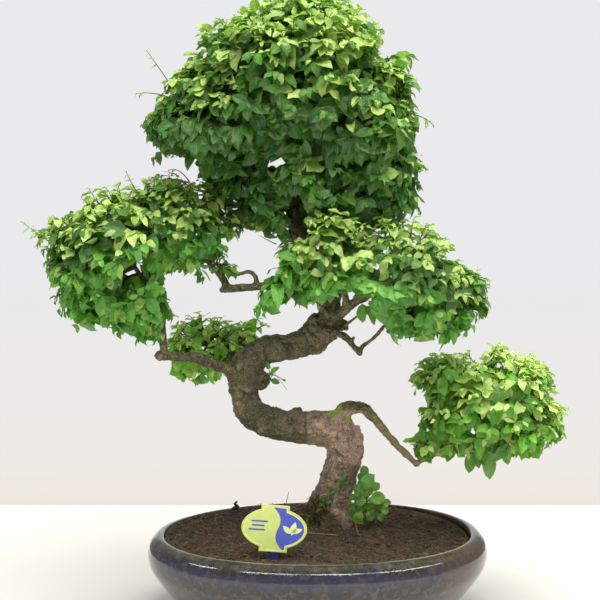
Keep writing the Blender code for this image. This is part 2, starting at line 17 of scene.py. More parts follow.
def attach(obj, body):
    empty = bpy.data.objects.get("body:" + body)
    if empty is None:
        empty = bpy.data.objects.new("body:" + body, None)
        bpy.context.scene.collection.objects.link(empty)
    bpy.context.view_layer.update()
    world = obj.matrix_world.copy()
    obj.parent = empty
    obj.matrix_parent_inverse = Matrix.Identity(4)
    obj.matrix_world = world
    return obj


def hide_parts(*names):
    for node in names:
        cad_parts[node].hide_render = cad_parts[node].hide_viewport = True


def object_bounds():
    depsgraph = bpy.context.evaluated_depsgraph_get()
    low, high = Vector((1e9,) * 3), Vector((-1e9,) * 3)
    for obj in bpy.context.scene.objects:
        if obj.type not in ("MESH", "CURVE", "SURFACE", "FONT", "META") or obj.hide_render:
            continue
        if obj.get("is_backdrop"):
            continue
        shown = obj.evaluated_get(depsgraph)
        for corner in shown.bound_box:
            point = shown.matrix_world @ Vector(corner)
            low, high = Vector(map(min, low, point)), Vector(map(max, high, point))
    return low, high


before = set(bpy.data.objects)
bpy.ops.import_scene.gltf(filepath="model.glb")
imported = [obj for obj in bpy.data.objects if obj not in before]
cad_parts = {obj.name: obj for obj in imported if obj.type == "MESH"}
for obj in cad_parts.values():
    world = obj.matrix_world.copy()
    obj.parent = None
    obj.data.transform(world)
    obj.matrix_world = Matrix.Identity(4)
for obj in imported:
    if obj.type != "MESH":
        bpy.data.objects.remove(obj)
cad_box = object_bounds()

MM = 0.001
SEED = 7
BODY = "root"
UP = Vector((0, 0, 1))
GOLDEN_TURN = math.pi * (3 - math.sqrt(5))

# Camera and floor
PHOTO_WIDTH_PX = 600
FOCAL_PX = 1454
SENSOR_WIDTH = 36.0
CAMERA_PLACE = (-19.0, -1600.0, 542.0)
CAMERA_PITCH = math.radians(83.5)
TABLE_BACK = 490.0
TABLE_FRONT = -2600.0
TABLE_HALF_WIDTH = 2600.0
TABLE_THICKNESS = 40.0

# Light: the room's strengths, then its row of windows. Places in the row are parts of a direction: how far
# up, how far away from the viewer at its ends, and how far right at the gap in it
ROOM_FRONT = 0.24
ROOM_BACK = 0.8
ROOM_BACK_GLOSS = 1.15
ROOM_CEILING = 0.5
WINDOW_RISE = 0.53
WINDOW_HALF = 0.022
WINDOW_RAGGED = 0.1
WINDOW_ENDS = (-0.04, -0.24)
WINDOW_GAP = -0.61
WINDOW_GAP_EDGE = (0.07, 0.1)
WINDOW_LIGHT = 26.0
# Area lights: place, target and size in metres
OVERHEAD = ((0.6, -0.9, 4.2), (0, 0, 0.3), (4.0, 3.3))
OVERHEAD_POWER = 350
SHEEN_POWER = 300
FRONT_FILL = ((-0.8, -2.2, 1.5), (0, 0, 0.4), (1.4, 1.0))
FRONT_FILL_POWER = 9
WARM = (1.0, 0.99, 0.96)
COOL = (0.95, 0.98, 1.0)

# Pot: half widths and heights. From above it is a slightly squared oval, a little turned and broader
# at its right end
POT_DEPTH_SHARE = 0.743
POT_SQUARENESS = 2.15
POT_RIGHT_REACH = 0.005
POT_RIGHT_SWELL = 0.045
POT_TURN = math.radians(4.5)
POT_OPENING_HALF = 172.8
POT_WIDEST_HALF = 189.8
POT_WIDEST_Z = 75.0
POT_HEIGHT = 97.1
POT_SHOULDER = 2.2
POT_FLOOR = 10.0
POT_LOWER = [(132, 0), (134, 0.8), (135.5, 3), (147, 12), (158.3, 24), (174, 43), (186.2, 61)]
POT_LIP = [(172, 96.7), (171.4, 95.4), (171.1, 91)]
POT_INNER = [(176, 82), (181, 71), (166, 45.4), (150.5, 28), (127.5, 10)]
POT_SEGMENTS = 224
POT_SPACING = 2.2
POT_WAVER = 0.5
DRAIN_X = 70.0
DRAIN_RADIUS = 8.0
GROOVE_WIDTH = 22.0
GROOVE_DEPTH = 3.5

# Soil
SOIL_EDGE_Z = 92.0
SOIL_SLOPE = (-0.018, 0.035)
SOIL_MOUND = 8.5
SOIL_MOUND_SPREAD = 80.0
SOIL_LUMP = 1.6
SOIL_TOP_HALF = 170.6
SOIL_UNDER_LIP_Z = 83.4
SOIL_GAP = 0.3
SOIL_SEGMENTS = 200
SOIL_RINGS = 70
TRUNK_BASE = (20.0, 40.0)
FIBRES = 2250
FIBRE_LENGTH = (5, 20)
FIBRE_RADIUS = (0.16, 0.36)
FIBRE_STEPS = 6
FIBRE_EDGE = 0.965
CRUMBS = 1200
CRUMB_LARGEST = 3.2
# Moss on the soil: each patch's middle x and y, spread and number of tufts
MOSS_PATCHES = [
    (88, -92, 22, 260), (118, -70, 14, 90), (-10, 4, 16, 70), (44, 4, 16, 60), (-62, 8, 12, 50),
    (18, -4, 24, 80), (-150, 10, 16, 60), (96, 30, 14, 60), (60, -100, 12, 70), (-110, -60, 16, 50),
]

# Wood: each point is x, y, z and radius
LOWER_TRUNK = [
    (19, 40, 62, 24), (17, 40, 92, 29), (14.5, 40, 110, 27), (20, 39, 131, 21.8),
    (25.5, 37, 153, 20.3), (32, 34, 176, 21.5), (31, 31, 200, 22),
]
BENT_TRUNK = [
    (34, 29, 206, 17), (20, 28, 210, 20), (-1, 27, 210.5, 19), (-29, 28, 212, 18),
    (-55, 32, 216, 18), (-74, 38, 226.5, 17.5), (-82.5, 43, 246, 16.5), (-83, 46, 266, 18.5),
    (-75, 46, 284, 18), (-55, 41, 298, 16), (-30, 34, 301.5, 15.3), (-6, 28, 312, 18),
    (9, 25, 328, 20),
]
UPPER_TRUNK = [
    (6, 25, 322, 13), (14, 25, 340, 14), (14, 26, 356, 10.5), (7, 30, 381, 9), (-9, 34, 412, 9),
    (-24, 36, 441, 8.4), (-28, 36, 469, 7.8), (-24, 34, 502, 6.6), (-17, 32, 536, 5),
    (-19, 30, 569, 3.4),
]
BRANCHES = {
    "low right": [
        (20, 27, 216, 10.5), (32, 22, 231, 9.5), (45, 18, 235.5, 7.6), (56, 16, 232.5, 7),
        (65, 15, 223, 5.8), (75.5, 14, 210.5, 4.8), (88.5, 13, 196, 4.3), (101.5, 12, 182.5, 4),
        (114, 11, 170.5, 3.9),
    ],
    "left": [
        (-80, 44, 270, 9), (-100, 38, 276, 7.9), (-119, 30, 284, 6.7), (-136, 24, 291, 5.9),
        (-156, 20, 293, 5.3), (-172, 17, 295, 5.6), (-179, 16, 295, 5),
    ],
    "left riser": [
        (-171, 17, 292, 4.5), (-173, 17, 315, 4.4), (-173, 17, 333, 3.9), (-178, 17, 353, 3.3),
        (-189, 17, 373, 2.9), (-203, 18, 394, 2.4),
    ],
    "middle left": [
        (12, 26, 360, 6.7), (-12, 14, 372, 5.8), (-38, 5, 377, 5.1), (-64, 0, 375, 4.6),
        (-84, 0, 373, 4.6), (-98, 2, 372, 4.6), (-106, 2, 371, 3.6),
    ],
    "right": [
        (17, 22, 334, 6.7), (37, 14, 351, 5.6), (55, 4, 363, 4.6), (72, -8, 375, 3.7), (88, -18, 387, 3),
    ],
    "low right riser": [(112, 11, 173, 3.4), (131, 10, 183, 3.3), (152, 9, 203, 2.8), (172, 8, 223, 2.2)],
    "middle left riser": [
        (-99, 2, 372, 3.8), (-106, 6, 385, 4), (-120, 12, 399, 3.3), (-135, 16, 412, 2.9),
        (-150, 18, 425, 2.4),
    ],
    "middle left spur": [(-67, 0, 375, 3.5), (-68, 0, 385, 3.1), (-75, 0, 391, 2.5), (-88, 0, 388, 2)],
    "right fork": [
        (31, 16, 346, 3.8), (32, 12, 362, 3.3), (29, 6, 375, 2.8), (21, -2, 387, 2.3), (12, -12, 398, 2),
    ],
    "right hook": [(17, 14, 325, 5), (33, 8, 316, 4), (48, 4, 298.5, 3.2)],
    "right hook stub": [(35, 8, 312, 2.2), (40, 4, 315.5, 1.9), (41.5, 4, 317.5, 2.3)],
    "right hook riser": [
        (47, 4, 301, 3), (51, 2, 308, 2.8), (66, -4, 321, 2.4), (78, -12, 339, 2.1), (85, -18, 356, 1.9),
    ],
    "right column": [
        (14, 28, 343, 6), (28, 40, 372, 4.5), (37, 48, 406, 3.9), (36, 50, 439, 3.4), (29, 48, 468, 2.9),
        (40, 44, 493, 2.5),
    ],
    "back": [(-22, 38, 424, 5), (-37, 58, 431, 3.9), (-56, 72, 444, 3.4), (-71, 80, 455, 2.8)],
    "back low": [(-82, 48, 276, 6), (-98, 66, 285, 4.1), (-112, 78, 292, 3.5), (-127, 86, 296, 2.6)],
}
TRUNK_KNOBS = [
    (44.5, 33, 184, 10.5), (-66, 36, 265, 13), (-22, 26, 227.5, 7), (27, 26, 328, 9), (8, 31, 199, 13),
]
ROOT_FLARES = [
    (-165, 30, 10), (-110, 26, 9), (-60, 24, 8), (-20, 26, 8), (20, 28, 9), (95, 22, 9), (150, 26, 9),
]
BARK_VOXEL = 1.31
BARK_PLATE = 7.5
BARK_PLATE_LIFT = 0.8
BARK_GRAIN = 2.6
BARK_GRAIN_LIFT = 0.55
BARK_SWELLS = [(13, 2.5), (6, 1.2)]
THIN_WOOD = 7.0
PITS = [(50.7, 18, 176, 3.2, 3.5), (-59, 22, 262, 4.5, 4.5), (-33, 22, 296, 5, 1.6)]
# Folds on the bark's front: x and z of both ends, half width and depth
FOLDS = [
    (-14, 233, -11, 198, 2.0, 1.8), (16, 189, 31, 176, 2.2, 2.2), (30, 335, 27, 320, 2.0, 2.4),
    (-52, 229, -47, 203, 1.8, 1.2), (1, 174, 6, 153, 1.8, 1.5), (-16, 325, -9, 300, 2.0, 1.6),
    (-62, 300, -53, 284, 2.0, 1.8), (-91, 254, -73, 247, 1.8, 1.2), (-31, 309, -37, 294, 1.8, 1.4),
    (37, 219, 42, 202, 1.6, 1.2), (6, 334, 19, 325, 1.8, 1.5), (-80, 222, -69, 211, 1.8, 1.2),
]
BURL_SPACING = 8.0
BURL_SHARE = (0.3, 0.5)
# Creases: spacing, half width as a share of the noise, and depth
CREASE = 15.0
CREASE_WIDTH = 0.07
CREASE_DEPTH = 1.8
FINE_CREASE = 6.5
FINE_CREASE_WIDTH = 0.09
FINE_CREASE_DEPTH = 0.9
FINE_CREASE_SHIFT = Vector((70, 0, 30))
WOOD_SPACING = 8

# Moss on the bark: x, y, z and reach
BARK_MOSS = [
    (19, 17, 230, 4.5), (37, 14, 222, 4), (27, 18, 235, 3), (2, 20, 122, 4), (-6, 22, 104, 5), (46, 24, 102, 5),
]

# Heads: each lobe's centre x, y, z, half width, half depth, height above the centre, depth below it
HEADS = {
    "crown": [
        (-14, 30, 590, 122, 112, 111, 88), (-103, 30, 554, 86, 92, 84, 58), (54, 30, 548, 60, 92, 78, 80),
        (65, 34, 492, 58, 72, 60, 62), (-8, 30, 484, 80, 84, 62, 58), (-74, 44, 500, 52, 62, 54, 46),
        (-62, 30, 598, 84, 88, 92, 70), (-78, 46, 447, 32, 40, 14, 12), (-94, 30, 648, 22, 40, 18, 20),
        (-156, 30, 549, 40, 54, 32, 26), (-18, 30, 664, 72, 60, 44, 30), (82, 30, 602, 27, 50, 24, 24),
        (-158, 30, 576, 24, 36, 18, 20),
    ],
    "left": [
        (-224, 18, 407, 88, 80, 86, 72), (-148, 20, 442, 64, 62, 62, 48), (-250, 18, 370, 48, 52, 60, 42),
        (-198, 18, 352, 34, 48, 48, 36), (-98, 8, 392, 16, 18, 14, 14), (-172, 20, 485, 29, 34, 21, 26),
        (-186, 15, 328, 20, 24, 22, 20), (-215, 15, 345, 38, 36, 18, 20), (-177, 12, 344, 17, 20, 14, 12),
    ],
    "right": [
        (80, -26, 388, 84, 74, 72, 58), (133, -20, 360, 54, 58, 54, 43), (2, -38, 402, 61, 48, 64, 50),
        (-46, -38, 366, 21, 28, 23, 20), (92, -24, 338, 30, 30, 20, 20), (164, -20, 380, 24, 32, 18, 20),
    ],
    "low_right": [
        (198, 10, 240, 80, 70, 74, 62), (144, 10, 226, 40, 46, 60, 56), (118, 10, 190, 15, 18, 14, 14),
        (122, 10, 272, 20, 30, 16, 16), (247, 10, 224, 34, 44, 34, 36), (162, 10, 290, 44, 40, 17, 16),
        (232, 10, 276, 36, 44, 26, 24),
    ],
    "back_left": [
        (-122, 90, 297, 62, 46, 37, 42), (-80, 86, 316, 30, 30, 18, 16), (-142, 88, 276, 34, 30, 14, 22),
        (-134, 88, 320, 44, 32, 14, 16),
    ],
}
# Each head's leaves: how bright they are low down, half way and on top, which is painted light and shade, the
# share of fresh ones low down and on top, which are partly young growth and partly painted highlight, how much
# sunnier the head's right side is in this painted light, and the size of fresh leaves and of leaves in the sun
Looks = namedtuple("Looks", "low_tone middle_tone top_tone low_fresh top_fresh right_sun fresh_size sun_size")
HEAD_LOOKS = {
    "crown": Looks(0.14, 0.3, 0.34, 0.0, 1.1, 0.24, 0.98, 1.02),
    "left": Looks(1.45, 0.06, 0.34, 0.3, 0.85, -0.3, 0.9, 0.98),
    "right": Looks(1.5, -0.06, 0.24, 0.22, 0.95, 0.45, 0.88, 0.98),
    "low_right": Looks(0.6, 0.36, 0.64, 0.35, 1.15, 0.3, 0.92, 0.95),
    "back_left": Looks(0.85, 0.95, 1.0, 0.6, 0.95, 0.0, 0.8, 0.85),
}
STRAY_LOOKS = Looks(0.6, 0.7, 0.8, 0.5, 0.8, 0.0, 0.8, 0.9)

# Where the heads are open as the camera sees them, in the front plane: middle x and z, half width and
# height. The front ones are missing leaves only before a depth
OPENINGS = [
    (-68, 511, 8, 6), (-46, 511, 7, 6), (-144, 508, 14, 10), (-199, 402, 4, 7), (-195, 378, 6, 6),
    (-160, 514, 10, 6), (-154, 376, 15, 16), (-200, 393, 8, 8), (25, 362, 6, 10), (41, 363, 6, 8),
    (50, 346, 16, 10), (56, 327, 20, 13), (-32, 350, 15, 9), (-61, 404, 14, 14), (-78, 424, 28, 10),
    (-96, 372, 18, 13), (99, 222, 13, 16), (112, 250, 9, 11), (-96, 688, 18, 8), (144, 174, 18, 9),
    (217, 174, 15, 9), (79, 640, 9, 10), (-58, 322, 9, 6), (-143, 640, 11, 9), (-166, 612, 9, 9),
    (-184, 577, 6, 11), (-277, 474, 13, 8), (125, 463, 7, 16), (178, 301, 6, 7),
]
FRONT_OPENINGS = [(-24, 450, 12, 22), (20, 344, 15, 18)]
FRONT_DEPTH = 26
TIP_SPACING = 19.9
TIP_INSET = 5.5
TIP_STRAY = 0.07
SEAM_OVERLAP = 6.0
BROAD_LOBE = 75
CLUMP = 34.0
CLUMP_LIFT = 9.0
SHORT_SHOOTS = 0.3
SHORT_SHOOT_SHARE = (0.62, 0.86)
SHOOT_SHARE = (0.93, 1.0)
LONG_SHOOTS = 0.1
LONG_SHOOT_REACH = (4, 16)
SHOOT_STEPS = 6
SHOOT_RADII = (0.95, 0.45)
TIPS_A_LIMB = 11
STARTS_TRIED = 14
LIMB_REACH = 0.62
LIMB_STEPS = 8
LIMB_RADII = (2.6, 1.2)
PAIR_SPACING = 9.0
PAIR_STRAY = 0.25
TIP_PAIR_SPACING = 4.5
LEAFY_LENGTH = 62.0
MISSING_LEAVES = 0.06
LEAF_LENGTH = (18.0, 29.0)
LEAF_WIDTH_SHARE = (0.52, 0.7)
LEAF_STRAY = 0.26
SHADE_SIZE = 1.12
TIP_LEAF_SHARES = (0.4, 0.66, 0.86, 0.96)
LEAF_POWERS = (0.58, 0.72)
ROUND_POWERS = (0.5, 0.55)
# How sunny a leaf is by its height in the head and by the slope it grows on; its painted light follows this
SUN_SHARES = (0.55, 0.6)
# The share of leaves that lie flat: at least, more on a slope, and more on top of the head
FLAT_SHARES = (0.18, 0.5, 0.42)
# A leaf's aim, lying flat or hanging: along its shoot, to its side, outward and up
FLAT_AIM = (0.4, 0.9, 0.35, -0.15)
HUNG_AIM = (0.35, 0.75, 0.2, -0.55)
# Pale fresh leaves are partly young growth and partly painted highlight: their share grows with sun and on flat
# leaves
FRESH_LIT_POWER = 1.15
FRESH_LIT_FLAT, FRESH_LIT_HUNG = 1.5, 0.35
FRESH_LIT_YOUTH = (0.4, 1.0)
OLD_YOUTH = (0.0, 0.12)
TONE_SPREAD = 0.15
LEAVES_A_PIECE = 4200
# Heads whose leaves get a lighter copy of the leaf paint: painted light for leaves lit from behind and from
# below
PAINTED_LIGHT_HEADS = ("back_left", "low_right")

# Blades: rows along and columns across, the middle column being the rib
BLADE_ROWS = 5
BLADE_COLUMNS = 5
STALK_SHARE = 0.07
VEIN_SLANT = 0.17
VEIN_PAIRS = 8
BLADE_ARCH = (0.0, 0.6)
BLADE_FOLD = (2, 30)
BLADE_TWIST = 0.4
BLADE_WAVE = (0.04, 0.2)

# Plant label
LABEL_CENTRE = (-46.5, -85.0, 123.8)
LABEL_HALF_WIDTH = 35.2
LABEL_HALF_HEIGHT = 22.0
LABEL_ROLL = math.radians(-4)
LABEL_LEAN = math.radians(-8)
TAB_HALF_WIDTH = 15.2
TAB_REACH = 3.0
STAKE_BOTTOM_Z = 48.0


def linear(red, green, blue):
    """A colour given in display values up to 255, as the shader wants it."""
    values = []
    for part in (red, green, blue):
        share = part / 255
        values.append(share / 12.92 if share <= 0.04045 else ((share + 0.055) / 1.055) ** 2.4)
    return (*values, 1.0)


class Nodes:
    """A node tree, with one short call for each kind of node."""

    def __init__(self, tree, coordinates):
        self.tree = tree
        self.place = self.node("ShaderNodeTexCoord").outputs[coordinates]

    def node(self, kind, inputs=None, **settings):
        made = self.tree.nodes.new(kind)
        for name, value in settings.items():
            setattr(made, name, value)
        for name, value in (inputs or {}).items():
            if isinstance(value, bpy.types.NodeSocket):
                self.tree.links.new(value, made.inputs[name])
            else:
                made.inputs[name].default_value = value
        return made

    def noise(self, size, detail=3.0, roughness=0.55, distortion=0.0):
        """Cloudy noise whose features are about size millimetres wide."""
        inputs = {
            "Vector": self.place, "Scale": 1 / (size * MM), "Detail": detail,
            "Roughness": roughness, "Distortion": distortion,
        }
        return self.node("ShaderNodeTexNoise", inputs).outputs["Fac"]

    def attribute(self, name):
        made = self.node("ShaderNodeAttribute", attribute_name=name)
        split = self.node("ShaderNodeSeparateColor", {"Color": made.outputs["Color"]})
        return split.outputs["Red"], split.outputs["Green"], split.outputs["Blue"]

    def axes(self):
        split = self.node("ShaderNodeSeparateXYZ", {"Vector": self.place})
        return split.outputs["X"], split.outputs["Y"], split.outputs["Z"]

    def math(self, operation, first, second=0.0, third=0.0):
        inputs = {0: first, 1: second, 2: third}
        return self.node("ShaderNodeMath", inputs, operation=operation).outputs["Value"]

    def times(self, first, second, plus=0.0):
        return self.math("MULTIPLY_ADD", first, second, plus)

    def step(self, value, low, high, to_low=0.0, to_high=1.0):
        """value from low to high, mapped smoothly."""
        inputs = {"Value": value, "From Min": low, "From Max": high, "To Min": to_low, "To Max": to_high}
        return self.node("ShaderNodeMapRange", inputs, interpolation_type="SMOOTHSTEP").outputs["Result"]

    def mix(self, share, first, second):
        made = self.node("ShaderNodeMix", data_type="RGBA")
        for index, value in ((0, share), (6, first), (7, second)):
            if isinstance(value, bpy.types.NodeSocket):
                self.tree.links.new(value, made.inputs[index])
            else:
                made.inputs[index].default_value = value
        return made.outputs[2]

    def ramp(self, value, *stops):
        """Colours at places along value."""
        made = self.node("ShaderNodeValToRGB", {"Fac": value})
        elements = made.color_ramp.elements
        while len(elements) < len(stops):
            elements.new(0.5)
        for element, (place, colour) in zip(elements, stops):
            element.position = place
            element.color = colour
        return made.outputs["Color"]

    def bump(self, height, depth, strength=1.0, normal=None):
        inputs = {"Height": height, "Distance": depth * MM, "Strength": strength}
        if normal:
            inputs["Normal"] = normal
        return self.node("ShaderNodeBump", inputs).outputs["Normal"]


class Material(Nodes):
    """A node material round a Principled shader, painted in layers."""

    def __init__(self, name, roughness, specular, coat=0.0):
        self.material = bpy.data.materials.new(name)
        self.material.use_nodes = True
        super().__init__(self.material.node_tree, "Object")
        self.shader = self.tree.nodes["Principled BSDF"]
        self.output = self.tree.nodes["Material Output"]
        self.colour = None
        for socket, value in (("Roughness", roughness), ("Specular IOR Level", specular), ("Coat Weight", coat)):
            self.shader.inputs[socket].default_value = value

    def over(self, share, *colour):
        """Lays a colour, in display values, over the paint so far."""
        self.colour = self.mix(share, self.colour, linear(*colour))

    def finish(self, normal=None, roughness=None):
        for socket, value in (("Base Color", self.colour), ("Normal", normal), ("Roughness", roughness)):
            if value:
                self.tree.links.new(value, self.shader.inputs[socket])
        return self.material


def leaf_material(name, deep, middle, young_and_lit, light):
    """A satin blade with a pale rib and side veins, which lets some light through."""
    made = Material(name, roughness=0.36, specular=0.6)
    deep, middle, young_and_lit, light = (linear(*colour) for colour in (deep, middle, young_and_lit, light))
    across, along, tone = made.attribute("blade")
    youth_and_lit, blue_sheen, _ = made.attribute("growth_and_sheen")
    # The tone picks deep to light green; in the heads it is mostly painted light and shade
    made.colour = made.ramp(tone, (0.0, deep), (0.5, middle), (1.0, made_lighter(middle, 1.7)))
    # Painted blue sheen: a share of the leaves is mixed toward blue-green, as a reflection of the cool room
    painted_blue_sheen = made.mix(0.6, made.colour, linear(50, 116, 82))
    made.colour = made.mix(made.step(blue_sheen, 0.55, 1.0, 0.0, 0.7), made.colour, painted_blue_sheen)
    # Pale young colour, which on sunny flat leaves of the heads is also a painted highlight
    made.colour = made.mix(youth_and_lit, made.colour, young_and_lit)
    blotch = made.step(made.noise(9, detail=2), 0.35, 0.7, 0.0, 0.35)
    made.colour = made.mix(blotch, made.colour, made_lighter(middle, 0.75))
    rib = made.step(across, 0.03, 0.13, 1.0, 0.0)
    slant = made.times(across, -VEIN_SLANT, along)
    veins = made.math("SINE", made.times(slant, 2 * math.pi * VEIN_PAIRS))
    vein = made.times(made.step(veins, 0.82, 1.0, 0.0, 0.35), made.step(across, 0.95, 0.7, 0, 1))
    made.over(made.times(made.math("MAXIMUM", rib, vein), 0.26), 176, 206, 118)
    made.over(made.step(across, 0.86, 1.0, 0.0, 0.35), 150, 178, 84)
    normal = made.bump(made.times(veins, -0.25, made.times(rib, -1.0)), 0.35, 0.6)
    made.finish(normal)
    lit = made.mix(0.55, made.colour, light)
    through = made.node("ShaderNodeBsdfTranslucent", {"Color": lit, "Normal": normal})
    blend = made.node("ShaderNodeMixShader", {0: 0.3, 1: made.shader.outputs[0], 2: through.outputs[0]})
    made.tree.links.new(blend.outputs[0], made.output.inputs["Surface"])
    return made.material


def made_lighter(colour, factor):
    return (*(min(1.0, part * factor) for part in colour[:3]), 1.0)


def bark_material():
    """Grey-green upper bark and reddish lower bark, finely mottled, with moss."""
    made = Material("bark", roughness=0.88, specular=0.25)
    warm, moss, hollow_shade = made.attribute("zone")
    crest_highlight, pale, dirt = made.attribute("relief")
    speck = made.noise(1.5, detail=4, roughness=0.75)
    patch = made.noise(5.5, detail=4, roughness=0.65, distortion=0.6)
    large = made.noise(26, detail=2)
    x, _, z = made.axes()

    # Reddish paint for the lower trunk, then grey paint for the rest, and the one over the other
    made.colour = made.ramp(
        patch, (0.25, linear(148, 118, 106)), (0.42, linear(194, 164, 146)), (0.58, linear(210, 182, 158)),
        (0.8, linear(236, 214, 182)),
    )
    made.over(made.step(large, 0.42, 0.62, 0.0, 0.4), 192, 156, 148)
    made.over(made.step(z, 192 * MM, 160 * MM, 0.0, 0.55), 136, 118, 98)
    tan = made.colour
    made.colour = made.ramp(
        patch, (0.28, linear(70, 67, 48)), (0.44, linear(114, 108, 82)), (0.58, linear(132, 124, 96)),
        (0.75, linear(174, 160, 128)),
    )
    made.over(made.step(large, 0.42, 0.62, 0.0, 0.7), 100, 100, 72)
    made.colour = made.mix(warm, made.colour, tan)

    # Rust and dark stains, a darker bend, and fine specks
    made.over(made.step(made.noise(15, detail=3, distortion=0.8), 0.54, 0.64, 0.0, 0.38), 128, 94, 70)
    stain = made.step(made.noise(12, detail=4, roughness=0.6, distortion=1.0), 0.5, 0.62)
    made.over(made.times(stain, made.step(warm, 0.0, 1.0, 0.66, 0.3)), 54, 52, 38)
    made.over(made.step(x, -30 * MM, -56 * MM, 0.0, 0.28), 52, 58, 40)
    sharp = made.step(warm, 0.0, 1.0, 0.55, 0.8)
    made.over(made.times(made.step(speck, 0.5, 0.36), sharp), 44, 36, 26)
    made.over(made.times(made.step(speck, 0.54, 0.66, 0.0, 0.75), sharp), 212, 196, 162)

    # The pale branch, painted highlights on raised crests, soil at the base, painted shade in hollows and
    # creases, and moss
    branch = made.mix(patch, linear(122, 100, 70), linear(196, 176, 136))
    made.colour = made.mix(made.times(pale, 0.75), made.colour, branch)
    # Painted highlight: raised bark is lighter
    made.over(made.times(crest_highlight, made.step(warm, 0.0, 1.0, 0.26, 0.6)), 220, 196, 158)
    soiled = made.mix(patch, linear(34, 28, 20), linear(66, 60, 38))
    made.colour = made.mix(dirt, made.colour, soiled)
    # Painted shade: hollows, creases, pits and folds are darker
    made.over(made.times(hollow_shade, 0.6), 36, 28, 20)
    tuft = made.noise(2.2, detail=3)
    green = made.mix(tuft, linear(92, 136, 30), linear(190, 226, 80))
    made.colour = made.mix(made.step(made.times(tuft, 0.5, moss), 0.55, 0.8), made.colour, green)
    return made.finish(made.bump(made.times(speck, 0.5, patch), 1.6, 0.9))


def twig_material():
    """Young wood: brown where it is old, green towards its tip."""
    made = Material("twig", roughness=0.7, specular=0.3)
    green, _, _ = made.attribute("zone")
    fleck = made.noise(1.5, detail=3)
    made.colour = made.mix(fleck, linear(52, 42, 30), linear(120, 102, 76))
    made.over(green, 112, 132, 62)
    return made.finish(made.bump(fleck, 0.4, 0.7))


def pot_material():
    """Dark glaze, blue-black and brown, with olive patches near the lip and fine pitting."""
    made = Material("glaze", roughness=0.1, specular=0.5, coat=0.6)
    x, _, z = made.axes()
    cloud = made.noise(34, detail=5, roughness=0.62, distortion=0.8)
    fine = made.noise(3.2, detail=4, roughness=0.7)
    blot = made.noise(8, detail=4, roughness=0.65, distortion=0.6)
    olive = made.mix(made.noise(11, detail=3), linear(30, 27, 18), linear(74, 74, 48))

    # Body, olive patches near the lip, and pale and dark blots
    made.colour = made.ramp(
        cloud, (0.28, linear(24, 24, 34)), (0.45, linear(38, 35, 40)), (0.6, linear(52, 42, 34)),
        (0.78, linear(42, 44, 32)),
    )
    near_lip = made.step(made.times(cloud, 12 * MM, z), 95 * MM, 102 * MM, 0.0, 0.8)
    made.colour = made.mix(near_lip, made.colour, olive)
    made.over(made.step(blot, 0.5, 0.62, 0.0, 0.5), 98, 90, 84)
    made.over(made.step(blot, 0.46, 0.34, 0.0, 0.5), 20, 20, 30)

    # A blue band below the lip, painted as a reflection of the dim room, flecks and pits, a worn edge, a brown
    # right end and the bare foot
    # Painted reflection: the blue band below the lip
    run = made.times(cloud, 30 * MM, z)
    blue = made.times(made.step(run, 82 * MM, 92 * MM), made.step(run, 106 * MM, 98 * MM))
    made.over(made.times(blue, 0.5), 56, 58, 84)
    made.over(made.step(fine, 0.6, 0.7, 0.0, 0.28), 132, 124, 112)
    made.over(made.step(fine, 0.38, 0.28, 0.0, 0.6), 24, 22, 24)
    made.over(made.step(made.times(cloud, 1.5 * MM, z), 97.4 * MM, 98.0 * MM, 0.0, 0.4), 120, 120, 96)
    made.over(made.step(made.times(cloud, 90 * MM, x), 150 * MM, 210 * MM, 0.0, 0.6), 84, 66, 48)
    foot = made.step(z, 9 * MM, 3 * MM)
    made.over(foot, 104, 84, 66)
    rough = made.times(foot, 0.4, made.step(fine, 0.4, 0.75, 0.06, 0.22))
    rough = made.math("ADD", rough, made.step(z, 93.5 * MM, 96.5 * MM, 0.0, 0.22))
    waver = made.noise(22, detail=3)
    return made.finish(made.bump(waver, 2.0, 0.3, made.bump(fine, 0.16, 0.5)), rough)


def soil_material():
    """Peat: near black, with reddish and green patches."""
    made = Material("soil", roughness=0.95, specular=0.2)
    grain = made.noise(1.6, detail=5, roughness=0.75)
    patch = made.noise(19, detail=3)
    x, _, _ = made.axes()
    made.colour = made.ramp(
        grain, (0.3, linear(32, 29, 24)), (0.5, linear(74, 67, 56)), (0.7, linear(124, 110, 92)),
    )
    made.over(made.step(x, -60 * MM, -150 * MM, 0.0, 0.35), 40, 40, 30)
    made.over(made.step(patch, 0.5, 0.66, 0.0, 0.4), 104, 78, 60)
    made.over(made.step(patch, 0.42, 0.3, 0.0, 0.35), 70, 74, 44)
    return made.finish(made.bump(grain, 2.2, 1.0))


def fibre_material():
    """Dry roots and bits of fibre, from dark brown to straw, by strand."""
    made = Material("fibre", roughness=0.8, specular=0.25)
    tone, _, _ = made.attribute("zone")
    fleck = made.noise(2.5, detail=2)
    made.colour = made.ramp(
        tone, (0.0, linear(50, 38, 30)), (0.4, linear(112, 82, 64)), (0.75, linear(148, 120, 92)),
        (1.0, linear(172, 142, 106)),
    )
    made.over(made.times(fleck, 0.5), 40, 30, 22)
    return made.finish(made.bump(fleck, 0.3, 0.6))


def moss_material():
    made = Material("moss", roughness=0.85, specular=0.2)
    tone, _, _ = made.attribute("zone")
    fleck = made.noise(1.4, detail=3)
    made.colour = made.mix(tone, linear(48, 60, 26), linear(104, 124, 52))
    made.over(made.times(fleck, 0.4), 30, 40, 14)
    return made.finish(made.bump(fleck, 0.5, 0.6))


def plastic_material(name, colour, shade):
    """Printed plastic with faint rubbing."""
    made = Material(name, roughness=0.38, specular=0.45)
    rub = made.noise(7, detail=4)
    made.colour = made.mix(made.step(rub, 0.35, 0.75, 0.0, 0.35), linear(*colour), linear(*shade))
    return made.finish(made.bump(rub, 0.15, 0.3))


